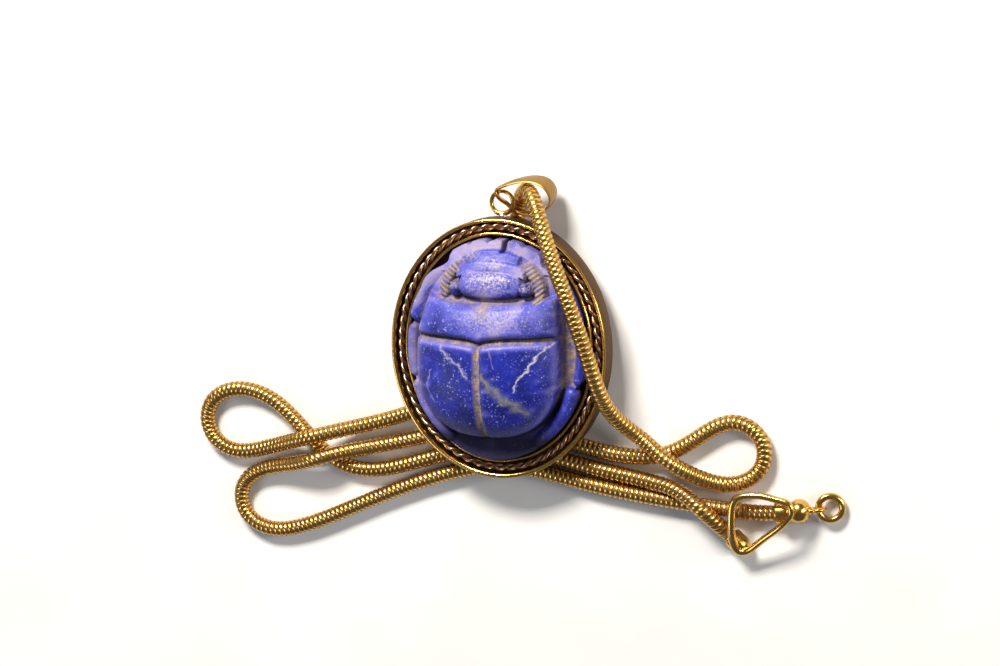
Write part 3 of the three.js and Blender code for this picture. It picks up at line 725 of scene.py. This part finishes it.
def chest_line(x):
    """The front edge of the chest, behind the head."""
    return CHEST_LINE["y"] + CHEST_LINE["slope"] * x + CHEST_LINE["bow"] * x * x


def edge_line(form, x):
    """The curved back or front edge of a form of the forehead."""
    return form["y"] - form["curve"] * (x - HEAD_X) ** 2


def outline_half_width(y):
    oval = STONE_HALF_WIDTH * np.sqrt(np.clip(1 - (y / STONE_HALF_LENGTH) ** 2, 0, 1))
    return oval - sum(depth * bell(y - at, width) for at, depth, width in NOTCHES)


def tooth_gap(x):
    return sum(depth * np.exp(-np.abs((x - at) / width) ** power) for at, depth, width, power in TOOTH_GAPS)


def squared(a, b, power):
    """How far out a point is in a rounded box: 1 on its edge."""
    return (np.abs(a) ** power + np.abs(b) ** power) ** (1 / power)


def island(reach, edge, top, power):
    """A rounded form: full height in its middle, edge height where reach is 1, nothing outside."""
    inside = np.clip(1 - np.abs(reach) ** power, 0, 1) ** (1 / power)
    return np.where(reach >= 1, 0, edge + (top - edge) * inside)


def sloped(form, x, y):
    """A form that slopes down towards +Y and bows down towards its sides."""
    return form["top"] - form["slope"] * (y - form["y"]) - form["bow"] * (x - HEAD_X) ** 2


def distance_to_path(x, y, path):
    nearest = np.full(np.shape(x), np.inf)
    for (ax, ay), (bx, by) in zip(path, path[1:]):
        run_x, run_y = bx - ax, by - ay
        share = np.clip(((x - ax) * run_x + (y - ay) * run_y) / (run_x**2 + run_y**2), 0, 1)
        nearest = np.minimum(nearest, np.hypot(x - ax - share * run_x, y - ay - share * run_y))
    return nearest


def wings(x, y):
    run = np.where(y < WING_CREST_Y, (WING_CREST_Y - y) / WING_TAIL, (y - WING_CREST_Y) / WING_HEAD)
    reach = squared((x - BODY_X) / WING_HALF_WIDTH, run, WING_SQUARENESS)
    behind = np.clip(wing_line(x) - y, 0, SHOULDER_REACH)
    form = island(reach, WING_EDGE, WING_TOP, WING_ROUNDNESS) - SHOULDER_DROP * bell(behind, SHOULDER_WIDTH)
    return np.where(y > wing_line(x), 0, form)


def chest(x, y):
    back, front = wing_line(x), chest_line(x)
    share = np.clip((y - back) / (front - back), 0, 1)
    top = CHEST_TOP - CHEST_DROP * share**CHEST_DROP_POWER
    top = top - CHEST_LIP_DROP * bell(1 - share, CHEST_LIP_SHARE)
    top = top - CHEST_BACK_DROP * bell(share, CHEST_BACK_SHARE)
    half_width = CHEST_HALF_WIDTH - CHEST_TAPER * share * np.where(x < BODY_X, 1, CHEST_RIGHT_SHARE)
    form = island(np.abs(x - BODY_X) / half_width, CHEST_EDGE, top, CHEST_ROUNDNESS)
    return np.where((y < back) | (y > front), 0, form)


def cheek_reach(x, y):
    return distance_to_path(np.abs(x - HEAD_X), y, CHEEK["points"]) / CHEEK["radius"]


def eye_reach(x, y):
    return np.hypot((np.abs(x - HEAD_X) - EYE["x"]) / EYE["rx"], (y - EYE["y"]) / EYE["ry"])


def hatch(x, y):
    """Slanting scored lines: 1 on a line and 0 between two."""
    place = HATCH_FORWARD * y - HATCH_ACROSS * np.abs(x - HEAD_X)
    return np.abs(np.cos(np.pi * place / HATCH_PITCH)) ** HATCH_SHARPNESS


def head(x, y):
    box = squared((x - HEAD_X) / HEAD_HALF_WIDTH, (y - HEAD_Y) / HEAD_HALF_LENGTH, HEAD_SQUARENESS)
    block = island(box, HEAD_EDGE, HEAD_TOP, HEAD_ROUNDNESS) - HEAD_SLOPE * (y - HEAD_Y)
    eye = island(eye_reach(x, y), EYE["edge"], EYE["top"], EYE["roundness"])
    reach = cheek_reach(x, y)
    cheek = island(reach, CHEEK["edge"], CHEEK["top"], CHEEK["roundness"])
    cheek = cheek - np.where(reach < CHEEK["hatched_share"], HATCH_DEPTH * hatch(x, y), 0)
    neck = np.where(y > chest_line(x), sloped(NECK, x, y), 0)
    return np.maximum.reduce([block, eye, cheek, neck])


def brow_and_shield(x, y):
    """The forehead in two steps, and the flat toothed shield in front of it."""
    side = np.abs(x - HEAD_X)
    brow_back = edge_line(BROW, x)
    is_brow = (y > brow_back) & (y < edge_line(CROWN, x)) & (side < BROW["half_width"])
    brow = np.where(is_brow, sloped(BROW, x, y), 0)
    is_crown = (y > BROW["y"]) & (y < edge_line(CROWN_FRONT, x)) & (side < CROWN["half_width"])
    crown = np.where(is_crown, sloped(CROWN, x, y), 0)
    shield = np.where(y > SHIELD["back"], sloped(SHIELD, x, y), 0)
    scored = SCORE_DEPTH * bell(y - brow_back, SCORE_HALF_WIDTH) * (side < BROW["half_width"])
    return np.maximum.reduce([brow, crown, shield]) - scored


def legs(x, y):
    ridges = []
    for leg in LEGS:
        reach = distance_to_path(np.abs(x), y, leg["points"]) / leg["radius"]
        ridges.append(island(reach, EDGE_TOP, leg["top"], LEG_ROUNDNESS))
    return np.maximum.reduce(ridges)


def seam_mask(x, y):
    """The line between the two wing cases."""
    along_back = (y < wing_line(x)) & (y > WING_CREST_Y - WING_TAIL)
    return np.where(along_back, bell(x - BODY_X, GROOVE_HALF_WIDTH), 0)


def cross_mask(x, y):
    """The line between the chest and the wing cases."""
    return np.where(np.abs(x - BODY_X) < WING_HALF_WIDTH, bell(y - wing_line(x), GROOVE_HALF_WIDTH), 0)


def stone_top(x, y):
    """Height of the carved top above the flat base."""
    edge = EDGE_TOP - TAIL_EDGE["drop"] * risen(y, TAIL_EDGE["start"], TAIL_EDGE["run"])
    form = np.maximum.reduce([edge, wings(x, y), chest(x, y), head(x, y), brow_and_shield(x, y), legs(x, y)])
    return form - GROOVE_DEPTH * np.maximum(seam_mask(x, y), cross_mask(x, y))


def nearness(rows, y):
    """1 at the rows' own Y and 0 from a run away from it."""
    return np.clip(1 - np.abs(y - rows["y"]) / rows["run"], 0, 1)


def arc_rise(u):
    """Rise of the flat arc round the tail: 0 in its middle and 1 at its ends."""
    arc = TAIL_ROWS["arc"]
    return (1 - np.sqrt(1 - (u * arc) ** 2)) / (1 - math.sqrt(1 - arc**2))


def row_points(y_middle, u):
    """Where the rows and columns of the stone's grid run: round the tail, the teeth and the carved lines."""
    tail = risen(y_middle, TAIL_ROWS["start"], -STONE_HALF_LENGTH - TAIL_ROWS["start"])
    front = risen(y_middle, FRONT_ROWS["start"], SHIELD_FRONT - FRONT_ROWS["start"])
    by_wings, by_chest = nearness(WING_ROWS, y_middle), nearness(CHEST_ROWS, y_middle)
    side_y = y_middle + TAIL_ROWS["bend"] * tail - SHIELD_CORNER * front
    side_y = side_y + WING_ROWS["ends"] * by_wings + CHEST_ROWS["ends"] * by_chest
    x = u * outline_half_width(side_y)
    round_front = FRONT_ROWS["curved"] * u * u
    round_front = round_front + FRONT_ROWS["corner"] * np.abs(u) ** FRONT_ROWS["corner_power"]
    y = y_middle + TAIL_ROWS["bend"] * tail * arc_rise(u) - SHIELD_CORNER * front * round_front
    y = y - tooth_gap(x) * front ** FRONT_ROWS["tooth_power"]
    y = y + by_wings * (wing_line(x) - wing_line(BODY_X)) + by_chest * (chest_line(x) - chest_line(0))
    return x, np.minimum(y, STONE_HALF_LENGTH * np.sqrt(1 - (x / STONE_HALF_WIDTH) ** 2))


# Colour of the stone


def blurred(grid, times):
    """The grid with each value averaged with its four neighbours, so many times."""
    for _ in range(times):
        wide = np.pad(grid, 1, mode="edge")
        grid = (wide[:-2, 1:-1] + wide[2:, 1:-1] + wide[1:-1, :-2] + wide[1:-1, 2:]) / 4
    return grid


def lumps(x, y, size, seed):
    """Smooth random unevenness between about -1 and 1, with lumps of about the size given."""
    rng = np.random.default_rng(seed)
    total = np.zeros(np.shape(x))
    for _ in range(24):
        angle, phase = rng.uniform(0, 2 * np.pi, 2)
        wave = 2 * np.pi / (size * rng.uniform(0.7, 1.8))
        total += np.cos(wave * (x * np.cos(angle) + y * np.sin(angle)) + phase)
    return total / 7


def band(distance, strength, middle, half_width):
    """A soft band beside a line."""
    return strength * bell(distance - middle, half_width)


def spot(x, y, spot_x, spot_y, half_width, half_length):
    """A soft oval spot: 1 in its middle."""
    return bell(np.hypot((x - spot_x) / half_width, (y - spot_y) / half_length), 1)


def between(value, ends):
    return (value > ends[0]) & (value < ends[1])


def is_cheek(x, y):
    return cheek_reach(x, y) < CHEEK["dirty_share"]


def on_body(x):
    return np.abs(x - BODY_X) < BODY_LINE_HALF_WIDTH


def dirt_mask(x, y, z, sunk):
    """Tan dirt in the carved lines, in the hatching and on the low ground beside the body."""
    seam = np.clip(seam_mask(x, y) * 1.6 - 0.15, 0, 1)
    low_places = 0.7 * sunk * (1 - risen(y, *TAIL_SHADE))
    ground = np.clip(1 - (z - EDGE_TOP) / RIGHT_FLOOR_RISE, 0, 1)
    right_floor = ground * (x > 0) * between(y, RIGHT_FLOOR_Y)
    left_side = band(x, *LEFT_SIDE_DIRT) * between(y, LEFT_SIDE_Y)
    wing_edge = band(y - wing_line(x), *WING_EDGE_DIRT) * on_body(x)
    neck = band(y - chest_line(x), *NECK_DIRT) * (np.abs(x - HEAD_X) < NECK_DIRT_HALF_WIDTH)
    dirt = np.maximum.reduce([
        seam, low_places, is_cheek(x, y), right_floor, left_side, spot(x, y, *THROAT), wing_edge, neck,
    ])
    return dirt * (0.8 + 0.35 * lumps(x, y, 1.6, 3))


def shade_mask(x, y, z, sunk):
    """Dark lines under the head, across the body, along the seam, in the hatching and round the tail."""
    past_wings = y - wing_line(x)
    under_head = band(y - chest_line(x), *HEAD_SHADE) * (np.abs(x - HEAD_X) < HEAD_SHADE_HALF_WIDTH)
    under_head = under_head * (1 - bell(x - THROAT[0], THROAT_LIGHT_WIDTH))
    cross = band(past_wings, *CROSS_SHADE) * on_body(x)
    seam = band(x - BODY_X, *SEAM_SHADE) * (past_wings < 0) * (y > SEAM_SHADE_END)
    in_tail = risen(y, *TAIL_SHADE)
    tail_ground = in_tail * np.clip(1 - (z - 3.2) / 1.6, 0, 1)
    under_tail = [strength * risen(y, *place) for strength, place in UNDER_TAIL_SHADES]
    scored = 0.75 * is_cheek(x, y) * hatch(x, y)
    return np.maximum.reduce([under_head, cross, seam, tail_ground, *under_tail, sunk * in_tail, scored])


def wear_and_highlight_mask(x, y, z):
    """How pale the stone is from wear, most on its shield and along its edges, plus a painted highlight
    behind the wing line.
    """
    side, off_seam = np.abs(x - HEAD_X), np.abs(x - BODY_X)
    past_wings, past_chest = y - wing_line(x), y - chest_line(x)
    beside_brow = (y > SHIELD_WEAR_BACK) & (side > BROW["half_width"])
    levels = (
        ((y > edge_line(CROWN_FRONT, x)) | beside_brow, WEAR["shield"]),
        (y > edge_line(CROWN, x), WEAR["crown"]),
        (y > edge_line(BROW, x), WEAR["brow"]),
        ((past_chest > 0) & (side > SHOULDER_WEAR_START), WEAR["shoulder"]),
        (past_chest > 0, WEAR["head"]),
        (past_wings > 0, CHEST_WEAR + band(x, *CHEST_WEAR_SPOT) + CHEST_WEAR_SLOPE * past_wings),
        (z < GROUND_TOP, np.where(x < 0, WEAR["left_ground"], WEAR["right_ground"])),
    )
    wear_and_highlight = np.select([place for place, _ in levels], [level for _, level in levels], 0.0)
    wear_and_highlight = wear_and_highlight * (0.85 + 0.35 * lumps(x, y, 4.0, 5))
    ridge = np.clip((z - blurred(z, 40)) * 1.6, 0, 1)
    wear_and_highlight = np.maximum(wear_and_highlight, WEAR["ridge"] * ridge)
    # A painted highlight, with some wear, along the front of the wing cases
    wear_and_highlight = wear_and_highlight + band(past_wings, *WING_EDGE_WEAR_AND_HIGHLIGHT) * (off_seam < WING_EDGE_HIGHLIGHT_HALF_WIDTH)
    wear_and_highlight = wear_and_highlight + 0.3 * np.clip(lumps(x, y, 2.2, 6) - 0.4, 0, 1)
    return np.where(eye_reach(x, y) < 1, WEAR["eye"], wear_and_highlight) * (1 - spot(side, y, *UNDER_EYES))


def grain_mask(x, y):
    eyes = EYE_GRAIN * ((eye_reach(x, y) < 1) & (y > EYE["y"]))
    return np.maximum.reduce([eyes] + [strength * spot(x, y, *place) for strength, place in GRAIN_SPOTS])


def shaken(x, y, shake):
    """The places moved about a little, so that a line drawn there isn't straight."""
    far, across, along = shake
    return x + far * lumps(x, y, *across), y + far * lumps(x, y, *along)


def vein_mask(x, y):
    moved_x, moved_y = shaken(x, y, VEIN_SHAKE)
    return sum(
        strength * bell(distance_to_path(moved_x, moved_y, path), width)
        for path, strength, width in WHITE_VEINS
    )


def stone_colour_masks(x, y, z):
    """Where the stone is dirty, darkened by painted shade, paled by wear and a painted highlight, grainy,
    veined and brassy, by point.
    """
    sunk = np.clip((blurred(z, 60) - z) * 1.8 - 0.1, 0, 1)
    return {
        "dirt": dirt_mask(x, y, z, sunk),
        "shade": shade_mask(x, y, z, sunk),
        "wear_and_highlight": wear_and_highlight_mask(x, y, z),
        "grain": grain_mask(x, y),
        "vein": vein_mask(x, y),
        "ore": bell(distance_to_path(*shaken(x, y, ORE_SHAKE), ORE_BAND), ORE_HALF_WIDTH),
    }


def make_stone(material):
    """The carved top as one grid, closed by the rings of the girdle and the flat base."""
    u = np.linspace(-1, 1, STONE_COLUMNS + 1)
    u = (1 - COLUMN_SPREAD) * u + COLUMN_SPREAD * u**3
    y_middle = np.linspace(-STONE_HALF_LENGTH, SHIELD_FRONT, STONE_ROWS + 1)
    x, y = row_points(y_middle[:, None], u[None, :])
    z = blurred(stone_top(x, y), TOP_BLUR)
    for height, size, seed in STONE_LUMPS:
        z = z + height * lumps(x, y, size, seed)
    top = np.stack((x, y, z), -1).reshape(-1, 3)
    index = np.arange(z.size).reshape(z.shape)
    grid = np.stack((index[:-1, :-1], index[:-1, 1:], index[1:, 1:], index[1:, :-1]), -1).reshape(-1, 4)
    edge = np.concatenate((index[0, :-1], index[:-1, -1], index[-1, :0:-1], index[:0:-1, 0]))

    points, faces, ring = [top], [grid], edge
    for i, (share, level) in enumerate(STONE_FOOT):
        lower = len(top) + i * len(edge) + np.arange(len(edge))
        faces.append(np.stack((np.roll(ring, -1), ring, lower, np.roll(lower, -1)), -1))
        foot = top[edge] * share
        foot[:, 2] = level
        points.append(foot)
        ring = lower
    all_faces = np.concatenate(faces).tolist() + [ring[::-1].tolist()]

    foot_tones = {"dirt": 0.3, "wear_and_highlight": 0.3}
    attributes = {}
    for key, values in stone_colour_masks(x, y, z).items():
        below = np.full(len(STONE_FOOT) * len(edge), foot_tones.get(key, 0))
        attributes[key] = np.concatenate((values.ravel(), below))
    stone = make_mesh("stone", np.concatenate(points), all_faces, material, attributes, 60)
    dress(stone, "scarab")


# Frame and rope wire


def oval(turn, inset):
    """A point of the frame's oval, so far in from its outer face."""
    stretch = np.clip(1 - inset / (WALL + CHANNEL_WIDTH), 0, 1)
    x, y = np.cos(turn), np.sin(turn)
    left = LEFT_BULGE * stretch * (1 - x) / 2
    foot = FOOT_BULGE * stretch * (1 - y) / 2
    return (FRAME_HALF_WIDTH - inset) * x - left, (FRAME_HALF_HEIGHT - inset) * y - foot


def rim_top(start, width, top, rounding):
    """The rounded top of a rim, from its outer face to its inner one."""
    bevel, middle_in, middle_down = rounding
    end = start + width
    return (
        (start, top - bevel), (start + middle_in, top - middle_down), (start + bevel, top),
        (end - bevel, top), (end - middle_in, top - middle_down), (end, top - bevel),
    )


def waves(turn, parts):
    return sum(size * np.sin(count * turn + phase) for size, count, phase in parts)


def make_frame(material):
    """The channel with its two rims, its rims a little uneven as bent by hand."""
    inner = WALL + CHANNEL_WIDTH
    seat = inner + INNER_WALL + LEDGE_WIDTH
    profile = (
        (0, FRAME_BACK + CORNER),
        *rim_top(0, WALL, RIM_TOP, RIM_ROUNDING),
        (WALL, FLOOR_TOP + CORNER), (WALL + CORNER, FLOOR_TOP),
        (inner - CORNER, FLOOR_TOP), (inner, FLOOR_TOP + CORNER),
        *rim_top(inner, INNER_WALL, INNER_RIM_TOP, INNER_RIM_ROUNDING),
        (inner + INNER_WALL, FLOOR_TOP), (seat, FLOOR_TOP), (seat, 0), (WALL, 0),
        (WALL, FRAME_BACK + CORNER), (WALL - CORNER, FRAME_BACK), (CORNER, FRAME_BACK),
    )
    inset, level = np.array(profile).T
    turn = full_turn(FRAME_STEPS)[:, None]
    is_rim = level > UNEVEN_FROM
    is_inner_rim = is_rim & (inset > WALL + CORNER)
    x, y = oval(turn, inset + waves(turn, RIM_WOBBLE) * is_inner_rim)
    z = level + np.minimum(waves(turn, RIM_LIFT), MOST_RIM_LIFT) * is_rim
    # Painted shade: the channel floor, the ledge and the outer face are darkened
    in_channel = (np.abs(level - FLOOR_TOP) < 2 * CORNER) & (inset < inner + CORNER)
    on_ledge = (level <= FLOOR_TOP) & (inset > inner + CORNER)
    on_outside = inset == 0
    shade_and_grime = CHANNEL_SHADE * in_channel + LEDGE_SHADE * on_ledge + OUTSIDE_SHADE * on_outside
    points = np.stack((x, y, z), -1).reshape(-1, 3)
    faces = tube_faces(FRAME_STEPS, len(profile))
    make_metal("frame_channel", "frame", points, faces, material, np.tile(shade_and_grime, FRAME_STEPS), 40)


def make_rope(material):
    """Two strands twisted round each other in the channel."""
    inset = WALL + CHANNEL_WIDTH / 2
    steps = ROPE_TURNS * ROPE_STEPS_A_TURN
    even = np.linspace(0, 2 * np.pi, OVAL_SAMPLES)
    path_x, path_y = oval(even, inset)
    run = np.concatenate(([0], np.cumsum(np.hypot(np.diff(path_x), np.diff(path_y)))))
    turn = np.interp(np.arange(steps) / steps * run[-1], run, even)
    middle_z = FLOOR_TOP + GAP + ROPE_STRAND + ROPE_OFFSET
    middle = np.stack((*oval(turn, inset), np.full(steps, middle_z)), -1)
    across = unit(np.cross(directions(middle), (0, 0, 1)))
    twist = ROPE_TURNS * full_turn(steps)
    strands = []
    for phase in (0, np.pi):
        out = np.cos(twist + phase)[:, None] * across
        over = np.sin(twist + phase)[:, None] * np.array((0, 0, 1.0))
        strands.append(closed_wire(middle + ROPE_OFFSET * (out + over), ROPE_STRAND, ROPE_SIDES))
    points, faces = merged(*strands)
    # Painted shade: the wire darkens towards the floor of the channel
    depth = (FLOOR_TOP + GAP + ROPE_SHADE_TOP - points[:, 2]) / ROPE_SHADE_DROP
    make_metal("rope_strands", "rope_wire", points, faces, material, depth, slot="dark_gold")


# Ring and bail


def make_ring(material):
    """The wire ring, a little thicker where it meets the frame."""
    turn = full_turn(64)
    x, y = RING_RADIUS * np.cos(turn), RING_Y + RING_RADIUS * np.sin(turn)
    line = np.stack((x, y, np.full_like(turn, RING_Z)), -1)
    radius = RING_WIRE * (1 + RING_FOOT_GAIN * bell(np.sin(turn) + 1, RING_FOOT_WIDTH))
    make_metal("ring_wire", "hanging_ring", *closed_wire(line, radius, 14), material)


def make_solder(material):
    """The pale lump of solder between the ring and the frame, which the CAD leaves open."""
    points, faces = revolved(softened(SOLDER_PROFILE), 24)
    up, across, out = points.T
    height, size, seed = SOLDER_LUMPS
    uneven = height * lumps(up, out, size, seed)
    points = np.stack((SOLDER_STRETCH * across + uneven, up, out), -1) + SOLDER_PLACE
    made = make_mesh("solder", points, [face[::-1] for face in faces], material)
    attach(made, "root")


def make_bail(material):
    """The tapered strip loop that links the ring to the chain."""
    line = closed_curve(BAIL, 8)
    along = np.roll(line, -1, 0)[:, :2] - np.roll(line, 1, 0)[:, :2]
    out = unit(np.stack((along[:, 1], -along[:, 0]), -1))
    columns = []
    for thick_share, width_share in BAIL_SECTION:
        reach = out * thick_share * BAIL_THICKNESS / 2
        rise = width_share * line[:, 3]
        columns.append(np.stack((
            line[:, 0] + reach[:, 0],
            line[:, 1] + reach[:, 1] - BAIL_LEAN * rise,
            line[:, 2] + rise,
        ), -1))
    points = np.stack(columns, 1).reshape(-1, 3)
    # Painted shade: each face of the strip is darkened by its own share
    shades = [BAIL_INSIDE_SHADE if share < 0 else BAIL_OUTSIDE_SHADE for share, _ in BAIL_SECTION]
    faces = tube_faces(len(line), len(BAIL_SECTION))
    make_metal("bail_strip", "bail", points, faces, material, np.tile(shades, len(line)), 70)


# Chain


def chain_line(steps):
    """The chain's middle line in even steps: a smooth curve pulled towards the points of the route."""
    points = np.array(CHAIN_ROUTE, float)
    points = np.concatenate(([2 * points[0] - points[1]], points, [2 * points[-1] - points[-2]]))
    t = np.linspace(0, 1, SPAN_STEPS, endpoint=False)[:, None]
    weights = ((1 - t) ** 3, 3 * t**3 - 6 * t**2 + 4, -3 * t**3 + 3 * t**2 + 3 * t + 1, t**3)
    spans = [
        sum(weight * points[i + k] for k, weight in enumerate(weights)) / 6 for i in range(len(points) - 3)
    ]
    line = np.concatenate([*spans, points[-2:-1]])
    run = np.concatenate(([0], np.cumsum(np.linalg.norm(np.diff(line, axis=0), axis=1))))
    even = np.linspace(0, run[-1], steps)
    return np.stack([np.interp(even, run, line[:, i]) for i in range(3)], -1), run[-1]


def carried_frames(line):
    """Across and over directions that turn with the line and don't twist about it."""
    along = unit(np.gradient(line, axis=0))
    across = np.zeros_like(along)
    across[0] = unit(np.cross(along[0], (0, 0, 1)))
    for i in range(1, len(line)):
        across[i] = unit(across[i - 1] - along[i] * np.dot(across[i - 1], along[i]))
    return across, np.cross(across, along)


def make_chain(material):
    """A snake chain: slanting ring plates pressed close together, each with a rounded back."""
    _, length = chain_line(2)
    steps = round(length / LINK_PITCH) * LINK_STEPS + 1
    line, _ = chain_line(steps)
    turn = full_turn(CHAIN_SIDES)
    at = np.arange(steps)[:, None] / LINK_STEPS
    sway = SLANT_SWAY * np.sin(at / SLANT_SWAY_LINKS)
    slant = LINK_BEND * np.cos(2 * turn + 2 * sway) + LINK_SLANT * np.cos(turn - sway)
    back = np.abs(np.sin(np.pi * (at + slant))) ** LINK_ROUNDNESS
    radius = CHAIN_DIAMETER / 2 * (1 - LINK_RELIEF + LINK_RELIEF * back)
    radius[[0, -1]] *= CHAIN_END_SHARE
    section = round_section(*carried_frames(line), CHAIN_SIDES)
    points = (line[:, None] + radius[..., None] * section).reshape(-1, 3)
    # Painted shade and grime in the hollows between the plates
    shade_and_grime = (1 - back**LINK_HOLLOW_POWER).ravel()
    faces = tube_faces(steps, CHAIN_SIDES, False)
    return make_metal("snake_chain", "chain", points, faces, material, shade_and_grime, 80), line, length


# Clasp, end cap and end ring


def with_socket(profile):
    """The profile of an end, with a thin sleeve in front of it round the end of the chain."""
    inside = CHAIN_DIAMETER / 2 + SOCKET_PLAY
    outside = profile[0][0]
    sleeve = (
        (0, 0), (inside, 0), (inside, -SOCKET_DEPTH),
        (outside - SOCKET_BEVEL_IN, -SOCKET_DEPTH), (outside, SOCKET_BEVEL_BACK - SOCKET_DEPTH),
    )
    return sleeve + profile


def make_clasp(material):
    """The three-cornered wire loop, and the socket that holds it on the chain's end."""
    end, before = np.array(CHAIN_ROUTE[:2])
    along = unit(end - before)
    turn = Vector((1, 0, 0)).rotation_difference(Vector(along))
    cap_points, cap_faces = revolved(softened(with_socket(CLASP_CAP)), 28)
    cap_points = np.array([turn @ Vector(point) for point in cap_points]) + (end + GAP * along)
    line = closed_curve(CLASP_LOOP, 12)
    at_corner = bell(np.linalg.norm(line - CLASP_CORNER, axis=1), CLASP_CORNER_WIDTH)
    at_left = bell(line[:, 0] - CLASP_LEFT_X, CLASP_LEFT_WIDTH)
    radius = CLASP_WIRE * (CLASP_THINNEST + CLASP_GAIN * np.maximum(at_corner, at_left))
    points, faces = merged(closed_wire(line, radius, 16), (cap_points, cap_faces))
    return make_metal("clasp_loop", "clasp", points, faces, material, sharp_degrees=60)


def on_chain_end(points):
    """Points made along +X, turned and moved to where the chain ends."""
    turn = Matrix.Rotation(CAP_TURN, 3, "Z")
    return np.array([turn @ Vector(point) for point in points]) + CAP_PLACE


def make_end_cap(material):
    """The collar and ball on the chain's other end, and the upright lug behind them."""
    turn, sides = full_turn(40), 12
    x, z = LUG_X + LUG_RADIUS * np.cos(turn), LUG_RADIUS * np.sin(turn) - LUG_DROP
    line = np.stack((x, np.zeros_like(turn), z), -1)
    side = np.broadcast_to((0, 1.0, 0), line.shape)
    section = round_section(np.cross(directions(line), side), side, sides)
    lug = ((line[:, None] + LUG_WIRE * section).reshape(-1, 3), tube_faces(len(line), sides))
    points, faces = merged(revolved(softened(with_socket(CAP_PROFILE)), 36), lug)
    return make_metal("end_cap_ball", "end_cap", on_chain_end(points), faces, material, sharp_degrees=60)


def make_end_ring(material):
    """The loose ring in the lug, tilted as it lies."""
    turn = full_turn(56)
    x, y = END_RING_RADIUS * np.cos(turn), END_RING_RADIUS * np.sin(turn)
    line = np.stack((x * math.cos(END_RING_TILT), y, -x * math.sin(END_RING_TILT)), -1)
    line += (LUG_X + END_RING_RADIUS, 0, -END_RING_DROP)
    points, faces = closed_wire(line, END_RING_WIRE, 14)
    return make_metal("end_ring_wire", "end_ring", on_chain_end(points), faces, material)


def make_floor():
    corners = ((-1, -1), (1, -1), (1, 1), (-1, 1))
    points = [(x * FLOOR_HALF_WIDTH, y * FLOOR_HALF_WIDTH, FLOOR_Z) for x, y in corners]
    make_mesh("floor", points, [(0, 1, 2, 3)], floor_material())


make_camera()
make_lights()
make_floor()

metals = {name: metal_material(name, *looks) for name, looks in METALS.items()}
gold = metals["gold"]

chain, chain_path, chain_length = make_chain(metals["chain_gold"])
clasp = make_clasp(gold)
end_cap = make_end_cap(gold)
end_ring = make_end_ring(gold)

make_stone(stone_material())
make_frame(gold)
make_rope(metals["rope_bronze"])
make_ring(gold)
make_solder(metals["solder_metal"])
make_bail(gold)
